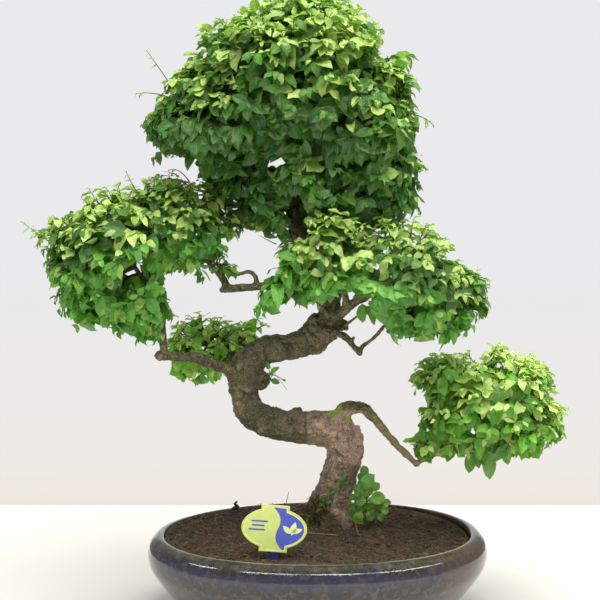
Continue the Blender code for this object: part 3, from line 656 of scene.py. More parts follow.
def table_material():
    made = Material("table", roughness=0.6, specular=0.3)
    made.colour = made.mix(made.noise(300, detail=2), (0.63, 0.605, 0.56, 1), (0.67, 0.645, 0.6, 1))
    return made.finish()


class Heap:
    """Gathers small shapes, with a colour for each point, for one mesh."""

    def __init__(self):
        self.points = []
        self.faces = []
        self.colours = []

    def add(self, points, faces, colours):
        start = len(self.points)
        self.points += [tuple(point) for point in points]
        self.faces += [tuple(start + corner for corner in face) for face in faces]
        self.colours += colours if isinstance(colours, list) else [colours] * len(points)

    def add_tube(self, route, sides, tone=0.0):
        points, faces = tube(route, sides)
        self.add(points, faces, (tone,) * 3)


def placed(name, data):
    """A new object in the scene."""
    made = bpy.data.objects.new(name, data)
    bpy.context.scene.collection.objects.link(made)
    return made


def add_piece(name, mesh, material, replaces=()):
    """Adds a finished mesh as a piece of the object that rides with the pot."""
    mesh.materials.append(material)
    piece = placed(name, mesh)
    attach(piece, BODY)
    if replaces:
        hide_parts(*replaces)


def mesh_of(name, points, faces, layers):
    """A mesh in metres from points in millimetres, with colour layers given by point."""
    mesh = bpy.data.meshes.new(name)
    mesh.from_pydata((np.asarray(points, dtype=float) * MM).tolist(), [], faces)
    for layer, colours in layers.items():
        add_layer(mesh, layer, colours)
    mesh.shade_smooth()
    mesh.update()
    return mesh


def add_layer(mesh, name, colours):
    rgba = np.ones((len(colours), 4))
    rgba[:, :3] = colours
    mesh.attributes.new(name, "FLOAT_COLOR", "POINT").data.foreach_set("color", rgba.ravel())


def heap_piece(name, heap, material, replaces=()):
    mesh = mesh_of(name, heap.points, heap.faces, {"zone": heap.colours})
    add_piece(name, mesh, material, replaces)


def mesh_from_bmesh(name, bm):
    bmesh.ops.scale(bm, vec=(MM, MM, MM), verts=bm.verts)
    bmesh.ops.recalc_face_normals(bm, faces=bm.faces)
    mesh = bpy.data.meshes.new(name)
    bm.to_mesh(mesh)
    bm.free()
    return mesh


def evaluated(mesh, *modifiers):
    """The mesh with modifiers applied, each given as a kind and its settings."""
    holder = placed("holder", mesh)
    for kind, settings in modifiers:
        modifier = holder.modifiers.new(kind, kind)
        for name, value in settings.items():
            setattr(modifier, name, value)
    bpy.context.view_layer.update()
    graph = bpy.context.evaluated_depsgraph_get()
    made = bpy.data.meshes.new_from_object(holder.evaluated_get(graph))
    bpy.data.objects.remove(holder)
    bpy.data.meshes.remove(mesh)
    return made


def catmull(a, b, c, d, t):
    """A point between b and c on the smooth curve through all four."""
    return 0.5 * (2 * b + (c - a) * t + (2 * a - 5 * b + 4 * c - d) * t**2 + (3 * b - a - 3 * c + d) * t**3)


def smooth_route(points, spacing):
    """Points at about even spacing along the smooth curve through a route, whose last number is a radius."""
    stops = [Vector(p) for p in points]
    stops = [2 * stops[0] - stops[1], *stops, 2 * stops[-1] - stops[-2]]
    route = []
    for a, b, c, d in zip(stops, stops[1:], stops[2:], stops[3:]):
        steps = max(1, round((c.xyz - b.xyz).length / spacing))
        route += [catmull(a, b, c, d, k / steps) for k in range(steps)]
    return [*route, stops[-2]]


def tube(route, sides):
    """Points and faces of a round tube with domed ends along a route of places and radii."""
    centres = [stop.xyz for stop in route]
    across = None
    points = []
    for k, stop in enumerate(route):
        way = (centres[min(k + 1, len(route) - 1)] - centres[max(k - 1, 0)]).normalized()
        if across is None:
            across = way.orthogonal()
            points.append(centres[0] - way * stop.w * 0.8)
        across = (across - way * across.dot(way)).normalized()
        other = way.cross(across)
        for side in range(sides):
            turn = 2 * math.pi * side / sides
            points.append(stop.xyz + (across * math.cos(turn) + other * math.sin(turn)) * stop.w)
    points.append(centres[-1] + way * route[-1].w * 0.8)
    faces = []
    last = len(points) - 1
    for k in range(sides):
        nxt = (k + 1) % sides
        faces.append((0, 1 + nxt, 1 + k))
        faces.append((last - sides + k, last - sides + nxt, last))
        for ring in range(len(route) - 1):
            low, high = 1 + ring * sides, 1 + (ring + 1) * sides
            faces.append((low + k, low + nxt, high + nxt, high + k))
    return points, faces


def lobe_distance(lobe, point):
    """About how far a point is outside a lobe, or below zero inside it."""
    x, y, z, wide, deep, above, below = lobe
    high = above if point.z > z else below
    share = Vector(((point.x - x) / wide, (point.y - y) / deep, (point.z - z) / high)).length
    return (share - 1) * min(wide, deep, high)


def spiral(count):
    """Even directions over a ball, from its top down."""
    for k in range(count):
        z = 1 - 2 * (k + 0.5) / count
        flat = math.sqrt(1 - z * z)
        yield Vector((flat * math.cos(GOLDEN_TURN * k), flat * math.sin(GOLDEN_TURN * k), z))


def lobe_area(wide, deep, high):
    """About the area of an ellipsoid."""
    power = 1.6
    mean = ((wide * deep) ** power + (wide * high) ** power + (deep * high) ** power) / 3
    return 4 * math.pi * mean ** (1 / power)


def scatter(draw, spread):
    """A random step in any direction."""
    return Vector([draw.gauss(0, spread) for _ in range(3)])


def head_tips(lobes, draw):
    """Where shoots end, spread over the outside of a head's lobes, and the way out of each."""
    tips = []
    for lobe in lobes:
        x, y, z, wide, deep, above, below = lobe
        centre = Vector((x, y, z))
        high = (above + below) / 2
        others = [other for other in lobes if other is not lobe]
        for direction in spiral(round(lobe_area(wide, deep, high) / TIP_SPACING**2)):
            turned = (direction + scatter(draw, TIP_STRAY)).normalized()
            tall = above if turned.z > 0 else below
            out = Vector((turned.x * wide, turned.y * deep, turned.z * tall))
            normal = Vector((turned.x / wide, turned.y / deep, turned.z / tall)).normalized()
            kind = draw.random()
            share = draw.uniform(*(SHORT_SHOOT_SHARE if kind < SHORT_SHOOTS else SHOOT_SHARE))
            lift = CLUMP_LIFT * noise.noise((centre + out) / CLUMP) - TIP_INSET
            if kind > 1 - LONG_SHOOTS:
                lift += draw.uniform(*LONG_SHOOT_REACH) * min(1.0, min(wide, deep, high) / BROAD_LOBE)
            point = centre + (out + normal * lift) * share
            if in_opening(point):
                continue
            if all(lobe_distance(other, point) > -TIP_INSET - SEAM_OVERLAP for other in others):
                tips.append((point, normal))
    return tips


def bend(start, middle, end, steps, radii):
    """A route along a bent line, thinning evenly from the first radius to the last."""
    route = []
    for k in range(steps + 1):
        t = k / steps
        place = start * (1 - t) ** 2 + middle * 2 * t * (1 - t) + end * t * t
        route.append(Vector((*place, radii[0] + (radii[1] - radii[0]) * t)))
    return route


def leaf_pairs(route, normal, head_share, looks, draw, blades):
    """Pairs of leaves along the outer part of a shoot, each pair turned a quarter from the last."""
    centres = [stop.xyz for stop in route]
    total = sum((b - a).length for a, b in zip(centres, centres[1:]))
    turn = draw.uniform(0, math.pi)
    count = max(2, int(min(LEAFY_LENGTH, total * 0.9) / PAIR_SPACING))
    for pair in range(count):
        back = 0.5 + pair * PAIR_SPACING - min(pair, 2) * TIP_PAIR_SPACING / 2
        place = max(0.0, 1 - back / total) * (len(route) - 1)
        low = min(int(place), len(route) - 2)
        root = centres[low].lerp(centres[low + 1], place - low)
        way = (centres[low + 1] - centres[low]).normalized()
        side = way.orthogonal().normalized()
        side.rotate(Matrix.Rotation(turn + pair * math.pi / 2 + draw.gauss(0, PAIR_STRAY), 3, way))
        size = TIP_LEAF_SHARES[pair] if pair < len(TIP_LEAF_SHARES) else 1.0
        for hand in (1, -1):
            if draw.random() < MISSING_LEAVES:
                continue
            add_leaf(root, way, side * hand, normal, size, pair, head_share, looks, draw, blades)


def add_leaf(root, way, side, normal, size, pair, head_share, looks, draw, blades):
    """One leaf of a pair: it lies flat to the light, or hangs with its face outward."""
    sun = clamp(SUN_SHARES[0] * head_share + SUN_SHARES[1] * normal.z + looks.right_sun * normal.x)
    stray = scatter(draw, LEAF_STRAY)
    least, on_slope, on_top = FLAT_SHARES
    flat = draw.random() < least + on_slope * max(0.0, normal.z) + on_top * head_share
    if flat:
        face = (UP + normal * draw.uniform(0.3, 0.8) + stray).normalized()
    else:
        face = (normal * 0.9 + UP * 0.5 + stray).normalized()
    along, across, out, rise = FLAT_AIM if flat else HUNG_AIM
    upright = max(0.0, 0.6 - 0.3 * pair)
    aim = way * (along + upright) + side * across + normal * out + UP * rise
    aim -= face * face.dot(aim) * 0.8
    length = draw.uniform(*LEAF_LENGTH) * size * (SHADE_SIZE + (looks.sun_size - SHADE_SIZE) * sun)
    width = length * draw.uniform(*LEAF_WIDTH_SHARE)
    # Pale fresh leaves: partly young growth, partly painted highlight on sunny, flat leaves near the shoot's tip
    fresh_lit_share = looks.low_fresh + (looks.top_fresh - looks.low_fresh) * sun**FRESH_LIT_POWER
    fresh_lit_share *= FRESH_LIT_FLAT if flat else FRESH_LIT_HUNG
    fresh_lit = draw.random() < fresh_lit_share * (1.1 - 0.18 * min(pair, 3))
    youth_and_lit = draw.uniform(*(FRESH_LIT_YOUTH if fresh_lit else OLD_YOUTH))
    if fresh_lit:
        length, width = length * looks.fresh_size, width * looks.fresh_size
    # Painted light and shade: the leaf's tone follows its sun, is lighter when it lies flat and darker deeper in
    # its shoot; only the spread is its own
    if sun > 0.5:
        painted_light_tone = looks.middle_tone + (looks.top_tone - looks.middle_tone) * (2 * sun - 1)
    else:
        painted_light_tone = looks.low_tone + (looks.middle_tone - looks.low_tone) * 2 * sun
    tone = draw.gauss(painted_light_tone + 0.08 * flat, TONE_SPREAD) - 0.06 * min(pair, 4)
    # Painted blue sheen: a random share, smaller in the sun
    blue_sheen = draw.random() * (1 - 0.25 * sun)
    reach = aim.normalized() * length
    if not any(in_opening(root + reach * share) for share in (0.2, 0.55, 0.9)):
        blades.append((*root, *aim, *face, length, width, clamp(youth_and_lit), clamp(tone), blue_sheen))


def clamp(value):
    return min(1.0, max(0.0, value))


def in_opening(point):
    """True where the camera sees a point in one of the open places of the heads."""
    eye = Vector(CAMERA_PLACE)
    seen = eye + (point - eye) * eye.y / (eye.y - point.y)
    openings = OPENINGS + FRONT_OPENINGS if point.y < FRONT_DEPTH else OPENINGS
    return any(math.hypot((seen.x - x) / half, (seen.z - z) / high) < 1 for x, z, half, high in openings)


def crosses_opening(start, end):
    return any(in_opening(start.lerp(end, share)) for share in (0.25, 0.5, 0.75, 0.95))


def grow_head(name, lobes, looks, stops):
    """The limbs, shoots and leaves of one head."""
    draw = random.Random(SEED + len(name))
    near = [stop for stop in stops if min(lobe_distance(lobe, stop.xyz) for lobe in lobes) < 4]
    low = min(z - below for _, _, z, *_, below in lobes)
    high = max(z + above for _, _, z, *_, above, _ in lobes)
    twigs = Heap()
    blades = []
    left = head_tips(lobes, draw)
    while left:
        seed = left[0][0]
        left.sort(key=lambda tip: (tip[0] - seed).length)
        group, left = left[:TIPS_A_LIMB], left[TIPS_A_LIMB:]
        middle = sum((tip for tip, _ in group), Vector()) / len(group)
        nearest = sorted(near, key=lambda stop: (stop.xyz - middle).length)[:STARTS_TRIED]
        start = next((stop for stop in nearest if not crosses_opening(stop.xyz, middle)), nearest[0])
        end = start.xyz.lerp(middle, LIMB_REACH)
        elbow = start.xyz.lerp(end, 0.5) + Vector((draw.gauss(0, 6), draw.gauss(0, 6), draw.uniform(2, 12)))
        widest, thinnest = LIMB_RADII
        limb = bend(start.xyz, elbow, end, LIMB_STEPS, (min(widest, start.w * 0.75), thinnest))
        twigs.add_tube(limb, 7)
        for tip, normal in group:
            root = limb[draw.randint(3, LIMB_STEPS)].xyz
            if crosses_opening(root, tip):
                continue
            reach = (tip - root).length
            bow = root.lerp(tip, 0.5) + normal * reach * 0.05 + UP * draw.uniform(0.0, 0.2) * reach
            bow += Vector([draw.gauss(0, 0.07) * reach for _ in range(3)])
            shoot = bend(root, bow, tip, SHOOT_STEPS, SHOOT_RADII)
            points, faces = tube(shoot, 3)
            twigs.add(points, faces, [(max(0.0, 2 * k / len(points) - 1),) * 3 for k in range(len(points))])
            leaf_pairs(shoot, normal, (tip.z - low) / (high - low), looks, draw, blades)
    return twigs, blades


def blade_grid():
    """Places along and across a blade from its root to its tip, and the faces between them."""
    places = [(0.0, 0.0)]
    half = (BLADE_COLUMNS - 1) / 2
    for row in range(1, BLADE_ROWS + 1):
        for column in range(BLADE_COLUMNS):
            places.append((row / (BLADE_ROWS + 1), column / half - 1))
    places.append((1.0, 0.0))
    last = len(places) - 1
    faces = []
    for column in range(BLADE_COLUMNS - 1):
        faces.append((0, 1 + column, 2 + column))
        end = last - BLADE_COLUMNS + column
        faces.append((end + 1, end, last))
        for row in range(BLADE_ROWS - 1):
            low = 1 + row * BLADE_COLUMNS + column
            high = low + BLADE_COLUMNS
            faces.append((low + 1, low, high, high + 1))
    return np.array(places), faces


def blade_outline(along, root_power, tip_power):
    """Half width of a blade along its length, as a share of the greatest, with a thin stalk first."""
    share = np.clip((along - STALK_SHARE) / (1 - STALK_SHARE), 0, 1)
    peak = root_power / (root_power + tip_power)
    top = peak**root_power * (1 - peak) ** tip_power
    return np.maximum(share**root_power * (1 - share) ** tip_power / top, 0.05 * (1 - along))


def unit(table):
    return table / np.linalg.norm(table, axis=1, keepdims=True)


def blade_mesh(name, blades, seed, powers=LEAF_POWERS):
    """One mesh of many blades, each folded along its rib, arched, twisted and waved at its edge."""
    table = np.array(blades)
    count = len(table)
    root = table[:, None, 0:3]
    along_axis = unit(table[:, 3:6])
    face = table[:, 6:9]
    up_axis = unit(face - along_axis * np.sum(face * along_axis, axis=1, keepdims=True))
    side_axis = np.cross(up_axis, along_axis)
    length, width, youth_and_lit, tone, blue_sheen = (table[:, column, None] for column in range(9, 14))
    places, pattern = blade_grid()
    along, across = places[:, 0], places[:, 1]
    draw = np.random.default_rng(seed)
    arch = draw.uniform(*BLADE_ARCH, (count, 1))
    fold = np.radians(draw.uniform(*BLADE_FOLD, (count, 1)))
    twist = draw.normal(0, BLADE_TWIST, (count, 1)) * along
    wave = draw.uniform(*BLADE_WAVE, (count, 1)) * np.sin(2 * np.pi * (1.5 * along + draw.random((count, 1))))
    half = width / 2 * blade_outline(along, *powers)
    side = half * across * np.cos(fold)
    lift = half * np.abs(across) * np.sin(fold) + width * wave * np.abs(across) * np.sin(np.pi * along)
    reach = length * (along - 0.3 * arch**2 * along**3)
    drop = -length * arch * along**2.5
    height = drop + side * np.sin(twist) + lift * np.cos(twist)
    side = side * np.cos(twist) - lift * np.sin(twist)
    points = root + reach[..., None] * along_axis[:, None] + side[..., None] * side_axis[:, None]
    points = points + height[..., None] * up_axis[:, None]
    faces = [tuple(k * len(places) + corner for corner in one) for k in range(count) for one in pattern]
    shape = (count, len(places))
    blade = [np.broadcast_to(part, shape) for part in (np.abs(across), along, tone)]
    growth_and_sheen = [np.broadcast_to(part, shape) for part in (youth_and_lit, blue_sheen, 0.0 * blue_sheen)]
    layers = {
        "blade": np.stack(blade, axis=-1).reshape(-1, 3),
        "growth_and_sheen": np.stack(growth_and_sheen, axis=-1).reshape(-1, 3),
    }
    return mesh_of(name, points.reshape(-1, 3), faces, layers)


def make_heads(leaf, painted_light_leaf, twig):
    stops = []
    for route in (UPPER_TRUNK, *BRANCHES.values()):
        stops += smooth_route(route, WOOD_SPACING)
    for name, lobes in HEADS.items():
        twigs, blades = grow_head(name, lobes, HEAD_LOOKS[name], stops)
        node = f"foliage_{name}"
        for part, first in enumerate(range(0, len(blades), LEAVES_A_PIECE)):
            piece = f"leaves_{name}_{part}"
            mesh = blade_mesh(piece, blades[first : first + LEAVES_A_PIECE], SEED + len(blades))
            add_piece(piece, mesh, painted_light_leaf if name in PAINTED_LIGHT_HEADS else leaf, (node,))
        heap_piece(f"twigs_{name}", twigs, twig, (node,))


def crease(point, size, width):
    """1 in the middle of thin winding lines about size apart, and 0 away from them."""
    bent = point / size + noise.noise_vector(point / (size * 0.6)) * 0.35
    return max(0.0, 1 - abs(noise.noise(bent)) / width)


def bark_height(point):
    """How far the bark stands out, and how hollow it is for painted shade: plates, creases between lumps, and a
    grain.
    """
    nearest, _ = noise.voronoi(point / BARK_PLATE)
    plate = min(1.0, (nearest[1] - nearest[0]) * 2.2)
    grain = noise.fractal(point / BARK_GRAIN, 0.8, 2.0, 2)
    swell = sum(lift * noise.noise(point / size) for size, lift in BARK_SWELLS)
    deep = crease(point, CREASE, CREASE_WIDTH)
    fine = crease(point + FINE_CREASE_SHIFT, FINE_CREASE, FINE_CREASE_WIDTH)
    height = BARK_PLATE_LIFT * (plate - 0.6) + BARK_GRAIN_LIFT * grain + swell
    height -= CREASE_DEPTH * deep + FINE_CREASE_DEPTH * fine
    hollow_shade = max(0.5 * max(0.0, 0.5 - plate), 0.6 * deep, 0.3 * fine)
    return height, hollow_shade


def bark_relief(point, height):
    """How raised the bark is for a painted highlight, and how pale and soiled it is, at a point."""
    crest_highlight = clamp(0.9 * height - 0.4) * clamp(0.5 + noise.noise(point / 9) * 2)
    pale = clamp((point.x - 50) / 20) * clamp((262 - point.z) / 20)
    ragged = 12 * noise.noise(point / 9)
    dirt = 0.85 * clamp((119 + ragged - 0.6 * (point.x - 18) - point.z) / 12)
    return crest_highlight, pale, dirt


def bark_zone(point, hollow_shade):
    """How warm and mossy the bark is at a point, and how hollow for painted shade."""
    edge = 8 * noise.noise(point / 13)
    warm = 1 / (1 + math.exp(-(point.x + 9 + edge) / 5)) if point.z < 233 and point.x < 56 else 0.0
    moss = 0.0
    for x, y, z, reach in BARK_MOSS:
        gap = (point - Vector((x, y, z))).length
        moss = max(moss, 1 - gap / (2 * reach))
    for x, y, z, reach, _ in PITS:
        gap = math.hypot(point.x - x, point.z - z)
        if point.y < y + 14:
            hollow_shade = max(hollow_shade, 1.2 - gap / reach)
    return warm, max(0.0, moss), min(1.0, max(0.0, hollow_shade))


def root_flares():
    """Short roots that spread from the trunk's base into the soil."""
    x, y = TRUNK_BASE
    routes = []
    for angle, reach, radius in ROOT_FLARES:
        way = Vector((math.cos(math.radians(angle)), math.sin(math.radians(angle)), 0))
        base = Vector((x, y, 0))
        routes.append([
            (*(base + way * reach * 0.35 + UP * 122), radius * 0.7),
            (*(base + way * reach * 0.75 + UP * 107), radius),
            (*(base + way * reach * 1.2 + UP * 95), radius * 0.85),
            (*(base + way * reach * 1.75 + UP * 84), radius * 0.6),
        ])
    return routes


def burls():
    """Lumps that stand a little out of the thick trunk all round."""
    draw = random.Random(SEED + 5)
    for route in (LOWER_TRUNK, BENT_TRUNK):
        for stop in smooth_route(route, BURL_SPACING):
            out = scatter(draw, 1).normalized()
            radius = stop.w * draw.uniform(*BURL_SHARE)
            yield *(stop.xyz + out * (stop.w * 1.06 - radius)), radius


def make_wood(bark):
    """Trunk and branches as one skin with a modelled bark."""
    raw = Heap()
    for route in (LOWER_TRUNK, BENT_TRUNK, UPPER_TRUNK, *BRANCHES.values(), *root_flares()):
        raw.add_tube(smooth_route(route, 4), 28)
    bm = bmesh.new()
    for x, y, z, radius in (*TRUNK_KNOBS, *burls()):
        bmesh.ops.create_icosphere(bm, subdivisions=3, radius=radius, matrix=Matrix.Translation((x, y, z)))
    raw.add(*bmesh_shape(bm), (0, 0, 0))
    mesh = evaluated(
        mesh_of("wood_raw", raw.points, raw.faces, {}),
        ("REMESH", {"mode": "VOXEL", "voxel_size": BARK_VOXEL * MM}),
        ("SMOOTH", {"factor": 0.5, "iterations": 4}),
    )
    zones = []
    reliefs = []
    rise = []
    normals = [vert.normal.copy() for vert in mesh.vertices]
    for vert in mesh.vertices:
        point = vert.co / MM
        thin = min(1.0, wood_radius(point) / THIN_WOOD)
        height, hollow_shade = bark_height(point)
        rise.append(height * (0.3 + 0.7 * thin**2) - pit_depth(point))
        zones.append(bark_zone(point, max(hollow_shade * thin, 0.5 * fold_depth(point))))
        reliefs.append(bark_relief(point, height))
    for vert, normal, height in zip(mesh.vertices, normals, rise):
        vert.co += normal * height * MM
    add_layer(mesh, "zone", zones)
    add_layer(mesh, "relief", reliefs)
    mesh.shade_smooth()
    add_piece("wood_bark", mesh, bark, ("wood",))


def bmesh_shape(bm):
    """The points and faces of a bmesh, which is freed."""
    shape = [vert.co.copy() for vert in bm.verts], [[v.index for v in face.verts] for face in bm.faces]
    bm.free()
    return shape


def pit_depth(point):
    """How deep the trunk's old pits and scars are at a point."""
    deep = 0.0
    for x, y, z, reach, depth in PITS:
        if point.y < y + 14:
            gap = math.hypot(point.x - x, point.z - z) / reach
            deep = max(deep, depth * math.exp(-(gap**2)))
    return max(deep, fold_depth(point))


def fold_depth(point):
    """How deep the folds on the trunk's front are at a point."""
    deep = 0.0
    if point.y > TRUNK_BASE[1] - 6:
        return deep
    here = Vector((point.x, point.z)) + Vector((noise.noise(point / 6), noise.noise(point / 6 + UP * 9))) * 3
    for x, z, end_x, end_z, half, depth in FOLDS:
        start, along = Vector((x, z)), Vector((end_x - x, end_z - z))
        share = clamp((here - start).dot(along) / along.length_squared)
        gap = (here - start - along * share).length / half
        deep = max(deep, depth * math.exp(-(gap**2)) * (1 - 0.6 * (2 * share - 1) ** 2))
    return deep


WOOD_STOPS = np.array([
    tuple(stop)
    for route in (LOWER_TRUNK, BENT_TRUNK, UPPER_TRUNK, *BRANCHES.values())
    for stop in smooth_route(route, WOOD_SPACING)
])


def wood_radius(point):
    """The radius of the wood round a point on its bark."""
    gaps = np.linalg.norm(WOOD_STOPS[:, :3] - np.array(point), axis=1) - WOOD_STOPS[:, 3]
    return WOOD_STOPS[np.argmin(gaps), 3]


def turned_by(x, y, turn):
    return x * math.cos(turn) - y * math.sin(turn), x * math.sin(turn) + y * math.cos(turn)


def oval(half, turn):
    """A place on the pot's outline seen from above, for a half width."""
    along, across = math.cos(turn), math.sin(turn)
    x = half * math.copysign(abs(along) ** (2 / POT_SQUARENESS), along)
    y = half * math.copysign(abs(across) ** (2 / POT_SQUARENESS), across)
    end = x / POT_WIDEST_HALF
    x *= 1 + POT_RIGHT_REACH * (1 + end)
    return turned_by(x, y * POT_DEPTH_SHARE * (1 + POT_RIGHT_SWELL * end), POT_TURN)


def lathe(profile, segments, height=None):
    """An oval turned skin, whose profile starts and ends on the axis."""
    bm = bmesh.new()
    rings = []
    for half, z in profile:
        turns = [0.0] if half == 0 else [2 * math.pi * k / segments for k in range(segments)]
        ring = []
        for turn in turns:
            x, y = oval(half, turn)
            ring.append(bm.verts.new((x, y, height(x, y, z) if height else z)))
        rings.append(ring)
    for low, high in zip(rings, rings[1:]):
        for k in range(segments):
            nxt = (k + 1) % segments
            corners = [low[0]] if len(low) == 1 else [low[k], low[nxt]]
            corners += [high[0]] if len(high) == 1 else [high[nxt], high[k]]
            bm.faces.new(corners)
    return bm


def smooth_profile(points, spacing):
    return [(stop.x, stop.z) for stop in smooth_route([(half, 0, z, 0) for half, z in points], spacing)]


def pot_height(x, y, z):
    """Hand-thrown waver of the pot's upper part."""
    if z < 20:
        return z
    turn = math.atan2(y / POT_DEPTH_SHARE, x)
    waver = noise.noise(Vector((math.cos(turn) * 1.4, math.sin(turn) * 1.4, z / 60)))
    return z + POT_WAVER * waver * (z / POT_HEIGHT)


def pot_shoulder(steps):
    """The section from the widest place to the lip, fuller than a quarter of an ellipse."""
    reach, rise = POT_WIDEST_HALF - POT_OPENING_HALF, POT_HEIGHT - POT_WIDEST_Z
    for k in range(steps + 1):
        turn = math.pi / 2 * k / steps
        half = POT_OPENING_HALF + reach * math.cos(turn) ** (2 / POT_SHOULDER)
        yield half, POT_WIDEST_Z + rise * math.sin(turn) ** (2 / POT_SHOULDER)


def make_pot(glaze):
    base = POT_LOWER[0][0]
    outer = [*POT_LOWER, *pot_shoulder(8), *POT_LIP]
    profile = [
        (0, 0), *((base * k / 6, 0) for k in range(1, 6)), *smooth_profile(outer, POT_SPACING),
        *smooth_profile(POT_INNER, 6), (0, POT_FLOOR),
    ]
    pot = mesh_from_bmesh("pot_glazed", lathe(profile, POT_SEGMENTS, pot_height))
    cutters = []
    for side in (-1, 1):
        groove = bmesh.new()
        size = Matrix.Diagonal((GROOVE_WIDTH, 400, 2 * GROOVE_DEPTH, 1))
        bmesh.ops.create_cube(groove, size=1, matrix=Matrix.Translation((side * DRAIN_X, 0, 0)) @ size)
        hole = bmesh.new()
        bmesh.ops.create_cone(
            hole, cap_ends=True, segments=40, radius1=DRAIN_RADIUS, radius2=DRAIN_RADIUS,
            depth=POT_FLOOR * 3, matrix=Matrix.Translation((side * DRAIN_X, 0, POT_FLOOR / 2)),
        )
        cutters += [placed("cutter", mesh_from_bmesh("cutter", bm)) for bm in (groove, hole)]
    subtract = {"operation": "DIFFERENCE", "solver": "EXACT"}
    pot = evaluated(pot, *(("BOOLEAN", {**subtract, "object": cutter}) for cutter in cutters))
    for cutter in cutters:
        cutter_mesh = cutter.data
        bpy.data.objects.remove(cutter)
        bpy.data.meshes.remove(cutter_mesh)
    pot.shade_smooth()
    pot.set_sharp_from_angle(angle=math.radians(45))
    add_piece("pot_glazed", pot, glaze, ("pot",))


def soil_level(x, y):
    """The soil's top before its roughness: it slopes a little and mounds to the trunk."""
    reach = math.hypot(x - TRUNK_BASE[0], (y - TRUNK_BASE[1]) / POT_DEPTH_SHARE)
    mound = SOIL_MOUND * math.exp(-((reach / SOIL_MOUND_SPREAD) ** 2))
    fade = max(0.0, 1 - soil_share(x, y) ** 6)
    flat = SOIL_EDGE_Z + SOIL_SLOPE[0] * x + SOIL_SLOPE[1] * y
    return flat + fade * (mound + SOIL_LUMP * noise.noise(Vector((x, y, 0)) / 17))


def soil_share(x, y):
    """How far out a place on the soil is, from 0 in the middle to 1 at the lip."""
    x, y = turned_by(x, y, -POT_TURN)
    end = x / POT_WIDEST_HALF
    x /= 1 + POT_RIGHT_REACH * (1 + end)
    y /= POT_DEPTH_SHARE * (1 + POT_RIGHT_SWELL * end)
    power = POT_SQUARENESS
    return (abs(x) ** power + abs(y) ** power) ** (1 / power) / POT_OPENING_HALF


def soil_top(x, y):
    rough = noise.fractal(Vector((x, y, 5)) / 6, 0.7, 2.0, 3)
    clod = noise.noise(Vector((x, y, 9)) / 3)
    fade = max(0.0, 1 - soil_share(x, y) ** 12)
    return soil_level(x, y) + fade * (1.3 * rough + 0.8 * clod)


def make_soil(soil):
    def height(x, y, z):
        return soil_top(x, y) if z > SOIL_EDGE_Z - 1 else z

    wall = [(half - SOIL_GAP, z + SOIL_GAP * (z < 20)) for half, z in POT_INNER]
    profile = [(0, POT_FLOOR + SOIL_GAP), *wall[::-1], (SOIL_TOP_HALF, SOIL_UNDER_LIP_Z)]
    profile += [(SOIL_TOP_HALF * (1 - k / SOIL_RINGS), SOIL_EDGE_Z) for k in range(SOIL_RINGS)]
    profile.append((0, SOIL_EDGE_Z))
    mesh = mesh_from_bmesh("soil_peat", lathe(profile, SOIL_SEGMENTS, height))
    mesh.shade_smooth()
    add_piece("soil_peat", mesh, soil, ("soil",))


def soil_places(count, draw, margin):
    """Seeded places on the open soil, clear of the trunk."""
    placed = 0
    while placed < count:
        reach = math.sqrt(draw.random()) * (SOIL_TOP_HALF - margin)
        x, y = oval(reach, draw.uniform(0, 2 * math.pi))
        if math.hypot(x - TRUNK_BASE[0], y - TRUNK_BASE[1]) > 27:
            placed += 1
            yield x, y


def make_fibres(fibre):
    """Dry roots and fibres strewn over the soil."""
    draw = random.Random(SEED + 1)
    heap = Heap()
    for x, y in soil_places(FIBRES, draw, 7):
        length = draw.uniform(*FIBRE_LENGTH)
        heading = draw.uniform(0, 2 * math.pi)
        turning = draw.gauss(0, 0.7)
        radius = draw.uniform(*FIBRE_RADIUS)
        arch = max(0.0, draw.gauss(0.9, 1.6))
        route = []
        for k in range(FIBRE_STEPS + 1):
            share = k / FIBRE_STEPS
            route.append(Vector((x, y, soil_top(x, y) + 0.3 + arch * math.sin(math.pi * share), radius)))
            x += math.cos(heading) * length / FIBRE_STEPS
            y += math.sin(heading) * length / FIBRE_STEPS
            heading += turning + draw.gauss(0, 0.35)
            if soil_share(x, y) > FIBRE_EDGE:
                break
        if len(route) > 2:
            heap.add_tube(route, 3, min(1.0, abs(draw.gauss(0.35, 0.3))))
    heap_piece("soil_fibres", heap, fibre)


def make_crumbs(soil):
    """Loose crumbs of peat."""
    draw = random.Random(SEED + 2)
    heap = Heap()
    bm = bmesh.new()
    bmesh.ops.create_icosphere(bm, subdivisions=1, radius=1)
    ball, faces = bmesh_shape(bm)
    for x, y in soil_places(CRUMBS, draw, 5):
        size = min(CRUMB_LARGEST, 0.7 + draw.expovariate(1.4))
        shift = Vector((x, y, soil_top(x, y) + size * 0.25))
        points = [
            shift + Vector((p.x, p.y, p.z * 0.8)) * size * (1 + 0.5 * noise.noise(p * 1.7 + shift)) for p in ball
        ]
        heap.add(points, faces, (draw.random(),) * 3)
    heap_piece("soil_crumbs", heap, soil)


def make_moss(moss):
    """Moss tufts on the soil and round the trunk's base."""
    draw = random.Random(SEED + 3)
    heap = Heap()
    for cx, cy, spread, count in MOSS_PATCHES:
        for _ in range(count):
            x, y = cx + draw.gauss(0, spread * 0.5), cy + draw.gauss(0, spread * 0.35)
            if soil_share(x, y) > 0.96:
                continue
            height = draw.uniform(0.9, 2.6)
            lean = Vector((draw.gauss(0, 0.8), draw.gauss(0, 0.8), height))
            base = Vector((x, y, soil_top(x, y) - 0.3))
            half = draw.uniform(0.35, 0.7)
            corners = [base + Vector((math.cos(a), math.sin(a), 0)) * half for a in (0, 2.1, 4.2)]
            heap.add([*corners, base + lean], [(0, 1, 3), (1, 2, 3), (2, 0, 3)], (draw.random(),) * 3)
    heap_piece("soil_moss", heap, moss)


